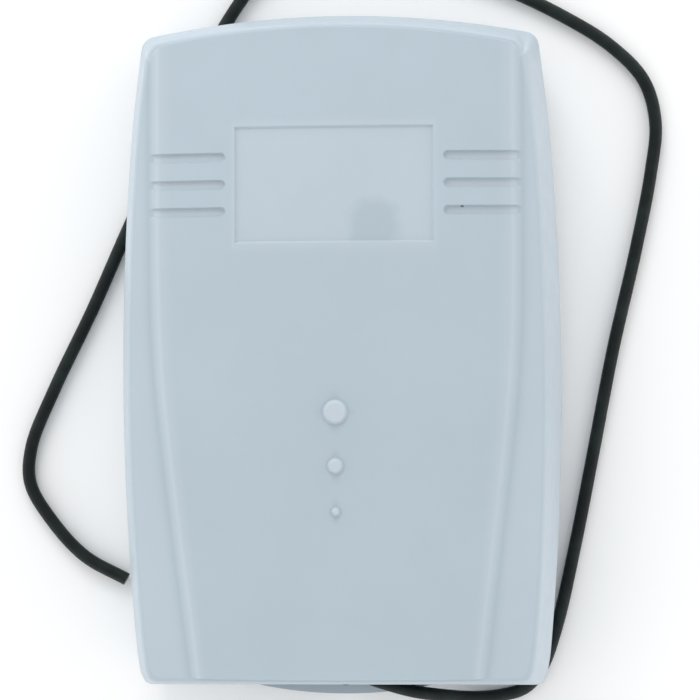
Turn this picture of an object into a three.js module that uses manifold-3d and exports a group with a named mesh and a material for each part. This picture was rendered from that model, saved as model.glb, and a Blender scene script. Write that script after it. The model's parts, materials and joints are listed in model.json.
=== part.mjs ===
// Radio receiver box of a garage door opener: a two-part moulded case with a circuit board inside
// and one thin lead. It lies on its back. Millimetres, +Z out of the cover's face, +Y to the case's
// arched end. The origin is at the middle of the base.
import * as THREE from 'three';
import { mergeVertices } from 'three/addons/utils/BufferGeometryUtils.js';
import Module from 'manifold-3d';

// ---------- driving dimensions ----------
const CASE = {
  halfWidth: 44, wideAt: -6, sideRadius: 586, top: 67, topRadius: 190, bottom: -67, corner: 2.4,
};
const FACE = { crest: 34, acrossRadius: 230, alongRadius: 900, step: 0.9, stepWidth: 1.6 };
const WALL_INSET = { side: 3.6, top: 4.2, bottom: 2.8 };
const PANEL = { topHalf: 34.2, taper: 0.12, taperFrom: -1.5, turnLength: 7 };
const LABEL = { width: 38, height: 22.2, y: 31.7, depth: 0.35 };
const VENT = { inner: 21, width: 1.7, pitch: 5.25, y: 31.8, rows: 3, depth: 0.75 };
const BUMPS = [{ y: -11.9, radius: 2.3 }, { y: -22.2, radius: 1.45 }, { y: -31, radius: 0.8 }];

const FOOT_HEIGHT = 3.2;
const FLOOR_TOP = 5.4;
const SEAM = 12;
const COVER_RIM = 12.3;
const COVER_WALL = 2.2;
const FACE_THICKNESS = 3.1;
const TONGUE_TOP = 14;

const LUG = { radius: 86.2, reach: 2.9, halfChord: 22.2, holeY: -66.1, holeRadius: 2.15, bossRadius: 3.6 };
const BAY = { halfWidth: 22, backY: -52, wall: 2.2, roof: 1.6 };
const WIRE_PORT = { left: -19, right: -9, low: 6.2, high: 10.8 };
const KEYHOLE = { y: 53, headRadius: 4.3, slotRadius: 2.2, slotLength: 7 };
const FEET = [[-20, 50], [20, 50], [-24, -44], [24, -44]];
const COVER_SCREWS = [[-33.5, 56], [33.5, 56], [-33.5, -58], [33.5, -58]];

const BOARD = { width: 64, length: 94, y: 2, bottom: 9.4, thickness: 1.6 };
const BOARD_TOP = BOARD.bottom + BOARD.thickness;
const BOARD_SCREWS = [[-28, 45], [28, 45], [-28, -41], [28, -41]];

const LEAD = { radius: 1.3, exitX: -1.7, exitZ: 8.7, holeRadius: 2.4, sides: 8, steps: 80 };
// The height of the lead's middle where it lies on the table.
const LYING = 1.45;

const RELAY = { x: -21, y: -15, width: 15.5, length: 19, height: 15.6 };
const TERMINAL = { x: -14, y: -39.2, ways: 4, pitch: 5, depth: 9.6, height: 11 };
const DIP = { x: -18, y: 34, ways: 4, width: 11.7, length: 9, height: 4 };
const LEARN = { x: 2, y: 34, size: 6, height: 3.6 };
const FUSE = { x: -5, y: -16, z: 15, radius: 2.6, length: 20 };
const RADIO = { x: 20, y: -18, width: 14, length: 36, bottom: 14.4, thickness: 1 };
const BRIDGE = { x: -24, y: 3, width: 8.5, length: 6.5, height: 3.4 };
const LARGE_CAPACITOR = { x: -24, y: 15.5, radius: 5, height: 16 };
const SMALL_CAPACITOR = { x: 3, y: 2, radius: 3.15, height: 11 };
const REGULATOR = { x: -10, y: 8 };
const LAMP = { x: 10, y: 34 };
const RESISTORS = [{ x: 8, y: -8 }, { x: 8, y: -22 }];
const DIODE = { x: -10.2, y: -15 };
const MICROCONTROLLER = { x: 13, y: 12, legs: 9 };
const CRYSTAL = { x: 14, y: 22, radius: 2.3, halfSpan: 3.1, height: 3.5 };
const PIN_PITCH = 2.54;

// The case stands over the origin once its lug is counted in its length.
const CASE_SHIFT_Y = -(CASE.top + CASE.bottom - LUG.reach) / 2;

// ---------- materials ----------
const plastic = (color) => new THREE.MeshStandardMaterial({ color, roughness: 0.55, metalness: 0 });
const metal = (color, roughness = 0.35) => new THREE.MeshStandardMaterial({ color, roughness, metalness: 1 });
const LOOK = {
  cover: plastic(0xb9c6d2),
  housing: plastic(0xa9b4bf),
  black: plastic(0x1c1f20),
  board: plastic(0x1e5a38),
  green: plastic(0x2f8f55),
  blue: plastic(0x1f4f9c),
  white: plastic(0xe8e8e4),
  red: plastic(0xc03028),
  tan: plastic(0xc9b089),
  clear: new THREE.MeshStandardMaterial({
    color: 0xdfe6ea, roughness: 0.1, transparent: true, opacity: 0.35,
  }),
  steel: metal(0xc4c6c8),
  brass: metal(0xc8a24a),
  copper: metal(0xb46a3c),
  aluminium: metal(0xd0d2d4, 0.3),
};

// ---------- solid tools ----------
const wasm = await Module();
wasm.setup();

function signedVolume(position, index) {
  let sum = 0;
  const corner = (i) => new THREE.Vector3().fromArray(position, 3 * i);
  for (let i = 0; i < index.length; i += 3) {
    sum += corner(index[i]).dot(corner(index[i + 1]).cross(corner(index[i + 2])));
  }
  return sum / 6;
}

// A closed three.js geometry as a solid that can be joined and cut.
function solid(geometry) {
  const bare = geometry.clone();
  bare.deleteAttribute('normal');
  bare.deleteAttribute('uv');
  const merged = mergeVertices(bare, 1e-4);
  const position = new Float32Array(merged.attributes.position.array);
  const index = [];
  const all = merged.index.array;
  for (let i = 0; i < all.length; i += 3) {
    const [a, b, c] = [all[i], all[i + 1], all[i + 2]];
    if (a !== b && b !== c && c !== a) index.push(a, b, c);
  }
  if (signedVolume(position, index) < 0) index.reverse();
  return new wasm.Manifold(new wasm.Mesh({
    numProp: 3,
    vertProperties: position,
    triVerts: new Uint32Array(index),
  }));
}

const join = (first, ...others) => others.reduce((sum, other) => sum.add(other), first);
const cut = (first, ...others) => others.reduce((rest, other) => rest.subtract(other), first);

function geometryOf(body) {
  const mesh = body.getMesh();
  const geometry = new THREE.BufferGeometry();
  geometry.setAttribute('position', new THREE.BufferAttribute(new Float32Array(mesh.vertProperties), 3));
  geometry.setIndex(new THREE.BufferAttribute(new Uint32Array(mesh.triVerts), 1));
  geometry.computeVertexNormals();
  return geometry;
}

function fromTriangles(position, index) {
  const geometry = new THREE.BufferGeometry();
  geometry.setAttribute('position', new THREE.Float32BufferAttribute(position, 3));
  geometry.setIndex(index);
  return solid(geometry);
}

// A block centred on x and y and standing on z.
function block(width, length, height, x, y, z) {
  return solid(new THREE.BoxGeometry(width, length, height).translate(x, y, z + height / 2));
}

// An upright round rod standing on z.
function rod(radius, height, x, y, z, sides = 20) {
  const shape = new THREE.CylinderGeometry(radius, radius, height, sides).rotateX(Math.PI / 2);
  return solid(shape.translate(x, y, z + height / 2));
}

// A turned shape from [radius, height] pairs, upright, starting and ending on its axis.
function turnedGeometry(profile, sides = 20) {
  const points = profile.map(([radius, height]) => new THREE.Vector2(radius, height));
  return new THREE.LatheGeometry(points, sides).rotateX(Math.PI / 2);
}

function turned(profile, x, y, z, sides = 20) {
  return solid(turnedGeometry(profile, sides).translate(x, y, z));
}

// A flat outline pushed up from low to high.
function prism(shape, low, high) {
  const options = { depth: high - low, bevelEnabled: false, curveSegments: 12 };
  return solid(new THREE.ExtrudeGeometry(shape, options).translate(0, 0, low));
}

// A skin through matching rings of points, closed by a fan at each end.
function loft(rings) {
  const count = rings[0].length;
  const position = [];
  const index = [];
  rings.forEach((ring) => ring.forEach((point) => position.push(...point)));
  const endFan = (ring, start, upward) => {
    const middle = position.length / 3;
    position.push(0, 0, ring[0][2]);
    for (let i = 0; i < count; i += 1) {
      const next = (i + 1) % count;
      index.push(middle, ...(upward ? [start + i, start + next] : [start + next, start + i]));
    }
  };
  for (let level = 0; level + 1 < rings.length; level += 1) {
    for (let i = 0; i < count; i += 1) {
      const next = (i + 1) % count;
      const [a, b] = [level * count + i, level * count + next];
      index.push(a, b, b + count, a, b + count, a + count);
    }
  }
  endFan(rings[0], 0, false);
  endFan(rings[rings.length - 1], (rings.length - 1) * count, true);
  return fromTriangles(position, index);
}

// A tube of round section along a smooth curve through points.
function tube(points, radius, steps) {
  const path = new THREE.CatmullRomCurve3(points.map((point) => new THREE.Vector3(...point)));
  const section = new THREE.Shape();
  for (let i = 0; i < LEAD.sides; i += 1) {
    const angle = (i / LEAD.sides) * 2 * Math.PI;
    const corner = [radius * Math.cos(angle), radius * Math.sin(angle)];
    if (i === 0) section.moveTo(...corner);
    else section.lineTo(...corner);
  }
  section.closePath();
  return solid(new THREE.ExtrudeGeometry(section, { steps, bevelEnabled: false, extrudePath: path }));
}

// ---------- the case's outline and face ----------
const sideX = (y) => CASE.halfWidth - (y - CASE.wideAt) ** 2 / (2 * CASE.sideRadius);
const topY = (x) => CASE.top - x ** 2 / (2 * CASE.topRadius);

// The outline moved inwards, with bowed sides, an arched top, a straight bottom and small round corners.
function outline(side, top, bottom, z, radius = CASE.corner) {
  const lowY = CASE.bottom + bottom;
  const lowX = sideX(lowY) - side;
  const highX = sideX(topY(sideX(CASE.top))) - side;
  const highY = topY(highX) - top;
  const ring = [];
  const spread = (count, make) => {
    for (let i = 0; i <= count; i += 1) ring.push([...make(i / count), z]);
  };
  const cornerAt = (from, middle, to) => spread(4, (t) => [0, 1].map((k) => (
    (1 - t) ** 2 * from[k] + 2 * t * (1 - t) * middle[k] + t ** 2 * to[k])));
  const rightAt = (y) => [sideX(y) - side, y];
  const topAt = (x) => [x, topY(x) - top];
  const mirror = ([x, y]) => [-x, y];
  cornerAt([lowX - radius, lowY], [lowX, lowY], rightAt(lowY + radius));
  spread(12, (t) => rightAt(THREE.MathUtils.lerp(lowY + 2 * radius, highY - 2 * radius, t)));
  cornerAt(rightAt(highY - radius), [highX, highY], topAt(highX - radius));
  spread(12, (t) => topAt(THREE.MathUtils.lerp(highX - 2 * radius, 2 * radius - highX, t)));
  cornerAt(topAt(radius - highX), [-highX, highY], mirror(rightAt(highY - radius)));
  spread(12, (t) => mirror(rightAt(THREE.MathUtils.lerp(highY - 2 * radius, lowY + 2 * radius, t))));
  cornerAt(mirror(rightAt(lowY + radius)), [-lowX, lowY], [radius - lowX, lowY]);
  return ring;
}

const evenRing = (inset, z, radius) => outline(inset, inset, inset, z, radius);

// The face is crowned both ways.
const crown = (x, y) => FACE.crest - x ** 2 / (2 * FACE.acrossRadius) - y ** 2 / (2 * FACE.alongRadius);

// The raised panel has parallel sides at the arched end and tapers evenly towards the straight end,
// with a soft turn between the two.
function panelHalf(y) {
  const below = PANEL.turnLength * Math.log(1 + Math.exp((PANEL.taperFrom - y) / PANEL.turnLength));
  return PANEL.topHalf - PANEL.taper * below;
}

// Everything under the panel's surface, lowered by drop, as one solid.
function underFace(drop) {
  const rows = 19;
  const reach = 72;
  const position = [];
  const index = [];
  const columns = [-48, -36, -24, -12, 0, 12, 24, 36, 48];
  const count = columns.length;
  const deep = -5;
  for (let row = 0; row < rows; row += 1) {
    const y = THREE.MathUtils.lerp(-reach, reach, row / (rows - 1));
    columns.forEach((x) => position.push(x, y, crown(x, y) - drop));
  }
  const top = position.length / 3;
  for (let i = 0; i < top; i += 1) position.push(position[3 * i], position[3 * i + 1], deep);
  const quad = (a, b, c, d) => index.push(a, b, c, a, c, d);
  for (let row = 0; row + 1 < rows; row += 1) {
    for (let column = 0; column + 1 < count; column += 1) {
      const a = row * count + column;
      quad(a, a + 1, a + count + 1, a + count);
      quad(top + a, top + a + count, top + a + count + 1, top + a + 1);
    }
    const left = row * count;
    quad(left, left + count, top + left + count, top + left);
    const right = left + count - 1;
    quad(right, top + right, top + right + count, right + count);
  }
  for (let column = 0; column + 1 < count; column += 1) {
    quad(column, top + column, top + column + 1, column + 1);
    const last = (rows - 1) * count + column;
    quad(last, last + 1, top + last + 1, top + last);
  }
  return fromTriangles(position, index);
}

// ---------- the assembly ----------
const receiver = new THREE.Group();
const box = new THREE.Group();
box.position.y = CASE_SHIFT_Y;
receiver.add(box);

function add(name, body, material, parent = box) {
  const mesh = new THREE.Mesh(geometryOf(body), material);
  mesh.name = name;
  parent.add(mesh);
  return mesh;
}

// ---------- front cover ----------
const NET_ROWS = 13;

// A net over the case's outline moved inwards. Its columns run along the case, at the distances from
// the middle that halfColumns gives for a row, and its ends follow the arch and the round corners.
function net(side, top, bottom, halfColumns, heightAt) {
  const lowY = CASE.bottom + bottom;
  const edgeX = (y) => sideX(y) - side;
  const highX = edgeX(topY(sideX(CASE.top)));
  const highY = topY(highX) - top;
  const drop = (x, edge) => {
    const over = THREE.MathUtils.clamp((x - edge + CASE.corner) / CASE.corner, 0, 1);
    return CASE.corner * (1 - Math.sqrt(1 - over ** 2));
  };
  const points = [];
  for (let row = 0; row < NET_ROWS; row += 1) {
    const t = row / (NET_ROWS - 1);
    const level = THREE.MathUtils.lerp(lowY, highY, t);
    const half = halfColumns(level, edgeX(level));
    [...half.map((x) => -x).reverse(), 0, ...half].forEach((x, column) => {
      const low = lowY + drop(Math.abs(x), edgeX(lowY));
      const high = topY(x) - top - drop(Math.abs(x), highX);
      const y = THREE.MathUtils.lerp(low, high, t);
      points.push([x, y, heightAt(x, y, Math.abs(column - half.length))]);
    });
  }
  return points;
}

// The indices round the edge of a net, anticlockwise seen from above.
function edgeOf(columns) {
  const at = (column, row) => row * columns + column;
  const loop = [];
  for (let i = 0; i < columns - 1; i += 1) loop.push(at(i, 0));
  for (let j = 0; j < NET_ROWS - 1; j += 1) loop.push(at(columns - 1, j));
  for (let i = columns - 1; i > 0; i -= 1) loop.push(at(i, NET_ROWS - 1));
  for (let j = NET_ROWS - 1; j > 0; j -= 1) loop.push(at(0, j));
  return loop;
}

// The panel's ridge and foot are columns 3 and 4 from the middle.
function faceColumns(y, edge) {
  const ridge = panelHalf(y);
  const foot = ridge + FACE.stepWidth;
  return [12, 24, ridge, foot, foot + 0.75 * (edge - foot), foot + 0.93 * (edge - foot), edge];
}
const evenColumns = (y, edge) => [0.25, 0.5, 0.7, 0.85, 0.93, 0.98, 1].map((share) => share * edge);

// The cover's shell as one skin: the face, the wall down to the rim, and back up inside.
function coverShell() {
  const outerHeight = (x, y, column) => crown(x, y) - (column > 3 ? FACE.step : 0);
  const innerHeight = (x, y) => crown(x, y) - FACE_THICKNESS;
  const atLevel = (z) => () => z;
  const inset = (share, extra) => [WALL_INSET.side, WALL_INSET.top, WALL_INSET.bottom]
    .map((lean) => lean * share + extra);
  const bendDrop = 1.4;
  const tongueRoom = 15.2;
  const nets = [
    net(...inset(1, 0), faceColumns, outerHeight),
    net(...inset(0.72, 0), faceColumns, (x, y) => crown(x, y) - FACE.step - bendDrop),
    net(0, 0, 0, faceColumns, atLevel(COVER_RIM)),
    net(...inset(0, COVER_WALL), evenColumns, atLevel(COVER_RIM)),
    net(...inset(0.1, COVER_WALL), evenColumns, atLevel(tongueRoom)),
    net(...inset(1, COVER_WALL), evenColumns, innerHeight),
  ];
  const columns = nets[0].length / NET_ROWS;
  const loop = edgeOf(columns);
  const position = nets.flat(2);
  const size = nets[0].length;
  const index = [];
  const quad = (a, b, c, d) => index.push(a, b, c, a, c, d);
  const inner = (nets.length - 1) * size;
  for (let row = 0; row + 1 < NET_ROWS; row += 1) {
    for (let column = 0; column + 1 < columns; column += 1) {
      const a = row * columns + column;
      const b = a + columns;
      quad(a, a + 1, b + 1, b);
      quad(inner + a, inner + b, inner + b + 1, inner + a + 1);
    }
  }
  for (let level = 0; level + 1 < nets.length; level += 1) {
    loop.forEach((from, i) => {
      const to = loop[(i + 1) % loop.length];
      quad(level * size + to, level * size + from, (level + 1) * size + from, (level + 1) * size + to);
    });
  }
  return fromTriangles(position, index);
}

function makeCover() {
  const bossBottom = SEAM + 0.4;
  const bosses = COVER_SCREWS.map(([x, y]) => (
    rod(3, crown(x, y) - FACE_THICKNESS + 0.8 - bossBottom, x, y, bossBottom)));
  const pilots = COVER_SCREWS.map(([x, y]) => rod(1.65, 11, x, y, bossBottom - 1, 12));
  const bumps = BUMPS.map(({ y, radius }) => turned(
    [[0, -1], [radius, -1], [radius, 0.25], [radius * 0.8, 0.5], [radius * 0.45, 0.62], [0, 0.66]],
    0, y, crown(0, y), 24));
  const label = block(LABEL.width, LABEL.height, 12, 0, LABEL.y, 28);
  const body = join(coverShell(), ...bosses, ...bumps);
  return cut(body, ...pilots, label.subtract(underFace(LABEL.depth)), ...ventCuts());
}

// Three grooves on each side run from a round inner end out through the panel's step.
function ventCuts() {
  const floor = underFace(VENT.depth);
  const radius = VENT.width / 2;
  const cuts = [];
  for (const side of [-1, 1]) {
    for (let row = 0; row < VENT.rows; row += 1) {
      const y = VENT.y + (row - (VENT.rows - 1) / 2) * VENT.pitch;
      const inner = VENT.inner + radius;
      const outer = panelHalf(y) + FACE.stepWidth + 0.6;
      const slot = join(
        block(outer - inner, VENT.width, 12, side * (inner + outer) / 2, y, 28),
        rod(radius, 12, side * inner, y, 28, 16),
      );
      cuts.push(slot.subtract(floor));
    }
  }
  return cuts;
}

// ---------- rear housing ----------
function makeHousing() {
  const wallFoot = 2.9;
  const outer = loft([evenRing(1.9, FOOT_HEIGHT), evenRing(1, 4.3), evenRing(0.6, 7), evenRing(0.4, SEAM)]);
  const hollow = loft([evenRing(wallFoot, FLOOR_TOP), evenRing(wallFoot, SEAM + 1)]);
  const tongueCorner = 4;
  const tongue = loft([evenRing(2.7, 9.5, tongueCorner), evenRing(2.7, TONGUE_TOP, tongueCorner)])
    .subtract(loft([evenRing(3.9, 8, tongueCorner), evenRing(3.9, TONGUE_TOP + 1, tongueCorner)]));

  const bayWidth = 2 * (BAY.halfWidth + BAY.wall);
  const bayInner = BAY.backY + BAY.wall;
  const bayLow = -64.4;
  const bayBlock = block(bayWidth, bayInner - bayLow, SEAM + BAY.roof - FOOT_HEIGHT - 0.5,
    0, (bayInner + bayLow) / 2, FOOT_HEIGHT + 0.5);
  const bayCut = block(2 * BAY.halfWidth, 30, SEAM - FLOOR_TOP, 0, BAY.backY - 15, FLOOR_TOP);

  const tubes = COVER_SCREWS.map(([x, y]) => rod(4.2, SEAM - 4, x, y, 4, 24));
  const tubeCuts = COVER_SCREWS.flatMap(([x, y]) => [
    rod(3.3, 7.4 - 2, x, y, 2, 24),
    rod(1.75, 12, x, y, 3, 12),
  ]);
  const posts = BOARD_SCREWS.map(([x, y]) => rod(3, BOARD.bottom - 5, x, y, 5));
  const postCuts = BOARD_SCREWS.map(([x, y]) => rod(1.35, 4, x, y, 6.4, 12));
  const feet = FEET.map(([x, y]) => rod(4.5, FOOT_HEIGHT + 0.5, x, y, 0, 24));

  const lugShape = new THREE.Shape();
  const lugCentreY = CASE.bottom - LUG.reach + LUG.radius;
  const halfAngle = Math.asin(LUG.halfChord / LUG.radius);
  lugShape.moveTo(LUG.halfChord, CASE.bottom + 3);
  lugShape.lineTo(-LUG.halfChord, CASE.bottom + 3);
  lugShape.absarc(0, lugCentreY, LUG.radius, -Math.PI / 2 - halfAngle, -Math.PI / 2 + halfAngle, false);
  const lug = prism(lugShape, FOOT_HEIGHT, FLOOR_TOP);
  const lugBoss = rod(LUG.bossRadius, FOOT_HEIGHT + 0.5, 0, LUG.holeY, 0, 24);
  const lugHole = rod(LUG.holeRadius, 10, 0, LUG.holeY, -2, 20);

  const keyhole = join(
    rod(KEYHOLE.headRadius, 4, 0, KEYHOLE.y, 2, 24),
    rod(KEYHOLE.slotRadius, 4, 0, KEYHOLE.y + KEYHOLE.slotLength, 2, 16),
    block(2 * KEYHOLE.slotRadius, KEYHOLE.slotLength, 4, 0, KEYHOLE.y + KEYHOLE.slotLength / 2, 2),
  );
  const port = block(WIRE_PORT.right - WIRE_PORT.left, 6, WIRE_PORT.high - WIRE_PORT.low,
    (WIRE_PORT.left + WIRE_PORT.right) / 2, BAY.backY + 1, WIRE_PORT.low);
  const leadHole = solid(new THREE.CylinderGeometry(LEAD.holeRadius, LEAD.holeRadius, 6, 20)
    .translate(LEAD.exitX, BAY.backY + 1, LEAD.exitZ));

  const walls = join(cut(outer, hollow), tongue, bayBlock, ...tubes, ...posts, ...feet);
  const open = join(cut(walls, bayCut), lug, lugBoss);
  return cut(open, lugHole, keyhole, port, leadHole, ...tubeCuts, ...postCuts);
}

add('front_cover', makeCover(), LOOK.cover);
add('rear_housing', makeHousing(), LOOK.housing);

// ---------- screws ----------
// A cross-head screw standing on its head's top face at z, pointing down or up.
function crossScrew(headRadius, headHeight, shankRadius, shankLength, x, y, headTop, way) {
  const stretch = (length, from) => (way > 0 ? from : from - length);
  const head = rod(headRadius, headHeight, x, y, stretch(headHeight, headTop));
  const shankFrom = headTop + way * headHeight * 0.9;
  const shank = rod(shankRadius, shankLength, x, y, stretch(shankLength, shankFrom), 12);
  const reach = headRadius * 1.1;
  const deep = headHeight * 0.5;
  const crossZ = way > 0 ? headTop - 0.5 : headTop - deep;
  const bars = [block(reach, 0.7, deep + 0.5, x, y, crossZ), block(0.7, reach, deep + 0.5, x, y, crossZ)];
  return cut(join(head, shank), ...bars);
}

COVER_SCREWS.forEach(([x, y], i) => {
  add(`cover_screw_${i + 1}`, crossScrew(2.8, 2, 1.35, 13, x, y, 5.3, 1), LOOK.steel);
});
BOARD_SCREWS.forEach(([x, y], i) => {
  add(`board_screw_${i + 1}`, crossScrew(2.5, 1.7, 1.05, 4.4, x, y, BOARD_TOP + 1.7, -1), LOOK.steel);
});

// ---------- circuit board ----------
add('circuit_board', cut(
  block(BOARD.width, BOARD.length, BOARD.thickness, 0, BOARD.y, BOARD.bottom),
  ...BOARD_SCREWS.map(([x, y]) => rod(1.4, 4, x, y, BOARD.bottom - 1, 12)),
), LOOK.board);

// ---------- relay ----------
function addRelay() {
  const { x, y, width, length, height } = RELAY;
  const skin = 0.6;
  const gap = 0.3;
  const under = 1;
  const baseHeight = 1.8;
  const yoke = { width: 9, plate: 1.2, bottom: 12.8, height: 8.7, y: y + 4.6 };
  const armature = { length: 11.2, thickness: 1, bottom: 21.8, y: y - 0.4 };
  const roomWidth = width - 2 * skin;
  const roomLength = length - 2 * skin;
  const base = block(roomWidth - 2 * gap, roomLength - 2 * gap, baseHeight, x, y, BOARD_TOP);
  add('relay_base', base, LOOK.black);
  const shell = block(width, length, height, x, y, BOARD_TOP);
  const room = block(roomWidth, roomLength, height, x, y, BOARD_TOP - under);
  add('relay_case', shell.subtract(room), LOOK.clear);
  const coilY = y - 1.5;
  const coilProfile = [
    [0, 13.1], [4.9, 13.1], [4.9, 13.9], [4.2, 13.9], [4.2, 19.7], [4.9, 19.7], [4.9, 20.5],
    [2.2, 20.5], [2.2, 21.2], [0, 21.2],
  ];
  add('relay_coil', turned(coilProfile, x, coilY, 0, 20), LOOK.copper);
  const yokeBack = block(yoke.width, yoke.plate, yoke.height, x, yoke.y, yoke.bottom);
  const yokeFoot = block(yoke.width, yoke.plate, gap, x, yoke.y - 1, yoke.bottom);
  add('relay_yoke', yokeBack.add(yokeFoot), LOOK.steel);
  const plate = block(yoke.width, armature.length, armature.thickness, x, armature.y, armature.bottom);
  add('relay_armature', plate, LOOK.steel);
}
addRelay();

// ---------- screw terminals ----------
function addTerminals() {
  const { x, y, ways, pitch, depth, height } = TERMINAL;
  const wayX = Array.from({ length: ways }, (_, i) => x + (i - (ways - 1) / 2) * pitch);
  const body = block(ways * pitch, depth, height, x, y, BOARD_TOP);
  const wells = wayX.map((at) => rod(1.9, 5, at, y, 18, 16));
  const rooms = wayX.map((at) => block(3.6, depth, 6.7, at, y - 1.8, 12.2));
  add('terminal_block', cut(body, ...wells, ...rooms), LOOK.green);
  wayX.forEach((at, i) => {
    const cage = block(3.2, 4.6, 4.4, at, y, 12.5);
    const window = block(2.3, 6, 2.6, at, y, 13.4);
    const thread = rod(1.1, 3, at, y, 15, 12);
    add(`terminal_clamp_${i + 1}`, cut(cage, window, thread), LOOK.brass);
    const screw = join(rod(1.6, 1.6, at, y, 19.4, 16), rod(0.85, 3.6, at, y, 15.9, 12));
    add(`terminal_screw_${i + 1}`, screw.subtract(block(4, 0.6, 1, at, y, 20.2)), LOOK.steel);
  });
}
addTerminals();

// ---------- fuse ----------
function addFuse() {
  const { x, y, z, radius, length } = FUSE;
  const along = (r, len, at) => solid(new THREE.CylinderGeometry(r, r, len, 20).translate(x, at, z));
  const capLength = 5;
  const tubeLength = length - 2 * capLength - 0.2;
  add('fuse_tube', along(radius - 0.2, tubeLength, y), LOOK.clear);
  [-1, 1].forEach((end, i) => {
    const capY = y + end * (length - capLength) / 2;
    add(`fuse_cap_${i + 1}`, along(radius, capLength, capY), LOOK.steel);
    const outside = radius + 0.75;
    const clip = block(2 * outside, 4.2, 6.4, x, capY, BOARD_TOP);
    const room = block(2 * (radius + 0.15), 6, 10, x, capY, BOARD_TOP + 0.8);
    add(`fuse_clip_${i + 1}`, clip.subtract(room), LOOK.brass);
  });
}
addFuse();

// ---------- switches and lamp ----------
function addDipSwitch() {
  const { x, y, ways, width, length, height } = DIP;
  const wayX = Array.from({ length: ways }, (_, i) => x + (i - (ways - 1) / 2) * PIN_PITCH);
  const slots = wayX.map((at) => block(1.5, 4.4, 3, at, y, BOARD_TOP + 2.4));
  add('dip_switch', cut(block(width, length, height, x, y, BOARD_TOP), ...slots), LOOK.red);
  wayX.forEach((at, i) => {
    add(`dip_slider_${i + 1}`, block(1, 1.6, 2.2, at, y - 1.1, BOARD_TOP + 2.6), LOOK.white);
  });
}
addDipSwitch();

const learnBody = block(LEARN.size, LEARN.size, LEARN.height, LEARN.x, LEARN.y, BOARD_TOP);
add('learn_switch', learnBody.subtract(rod(2.05, 5, LEARN.x, LEARN.y, 12.2)), LOOK.black);
add('learn_plunger', rod(1.75, 4.6, LEARN.x, LEARN.y, 12.6), LOOK.red);

const lampProfile = [[0, 0], [1.9, 0], [1.9, 1], [1.5, 1], [1.5, 3.6], [1.3, 4.4], [0.75, 5], [0, 5.2]];
add('learn_lamp', turned(lampProfile, LAMP.x, LAMP.y, BOARD_TOP, 16), LOOK.red);

// ---------- power parts ----------
const bridge = block(BRIDGE.width, BRIDGE.length, BRIDGE.height, BRIDGE.x, BRIDGE.y, BOARD_TOP);
add('bridge_rectifier', bridge, LOOK.black);

function makeCapacitor({ x, y, radius, height }) {
  const waist = radius * 0.92;
  const chamfer = 0.4;
  const profile = [[0, 0], [radius, 0], [radius, 1.2], [waist, 1.7], [radius, 2.2],
    [radius, height - chamfer], [radius - chamfer, height], [0, height]];
  return turned(profile, x, y, BOARD_TOP, 24);
}
add('large_capacitor', makeCapacitor(LARGE_CAPACITOR), LOOK.black);
add('small_capacitor', makeCapacitor(SMALL_CAPACITOR), LOOK.black);

function makeRegulator({ x, y }) {
  const legs = [-PIN_PITCH, 0, PIN_PITCH].flatMap((offset) => [
    block(0.9, 3.4, 0.6, x + offset, y - 5.9, BOARD_TOP + 1.6),
    block(0.9, 0.7, 2.2, x + offset, y - 7.4, BOARD_TOP),
  ]);
  const body = block(10, 9, 4.3, x, y, BOARD_TOP);
  const tab = block(10, 6.5, 1.3, x, y + 7.2, BOARD_TOP).subtract(rod(1.8, 4, x, y + 8, BOARD_TOP - 1, 16));
  return join(body, tab, ...legs);
}
add('voltage_regulator', makeRegulator(REGULATOR), LOOK.black);

// An axial part lies on the board on two bent wires.
function axialPart(bodyRadius, bodyLength, { x, y }) {
  const wireRadius = 0.35;
  const span = bodyLength + 4;
  const middleZ = BOARD_TOP + bodyRadius + 0.3;
  const end = bodyLength / 2;
  const waist = bodyRadius * 0.9;
  const profile = [[0, -end], [waist, -end], [bodyRadius, -end * 0.6], [waist, -end * 0.3],
    [waist, end * 0.3], [bodyRadius, end * 0.6], [waist, end], [0, end]];
  const middle = solid(turnedGeometry(profile, 12).rotateX(Math.PI / 2).translate(x, y, middleZ));
  const wire = solid(new THREE.CylinderGeometry(wireRadius, wireRadius, span, 8).translate(x, y, middleZ));
  const legs = [-1, 1].map((way) => (
    rod(wireRadius, middleZ - BOARD_TOP, x, y + way * (span / 2 - 0.3), BOARD_TOP, 8)));
  return join(middle, wire, ...legs);
}
RESISTORS.forEach((place, i) => add(`resistor_${i + 1}`, axialPart(1.15, 6.3, place), LOOK.tan));
add('flyback_diode', axialPart(1.3, 4.6, DIODE), LOOK.black);

// ---------- logic parts ----------
function makeMicrocontroller() {
  const { x, y, legs: legCount } = MICROCONTROLLER;
  const legs = [];
  for (let i = 0; i < legCount; i += 1) {
    const at = x + (i - (legCount - 1) / 2) * PIN_PITCH;
    for (const side of [-1, 1]) legs.push(block(1, 0.9, 2.4, at, y + side * 3.5, BOARD_TOP));
  }
  return join(block(22.9, 6.4, 3.4, x, y, BOARD_TOP + 0.6), ...legs);
}
add('microcontroller', makeMicrocontroller(), LOOK.black);

function makeCrystal() {
  const { x, y, radius, halfSpan, height } = CRYSTAL;
  const shape = new THREE.Shape();
  shape.absarc(x + halfSpan, y, radius, -Math.PI / 2, Math.PI / 2, false);
  shape.absarc(x - halfSpan, y, radius, Math.PI / 2, 1.5 * Math.PI, false);
  return prism(shape, BOARD_TOP, BOARD_TOP + height);
}
add('crystal', makeCrystal(), LOOK.aluminium);

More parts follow.
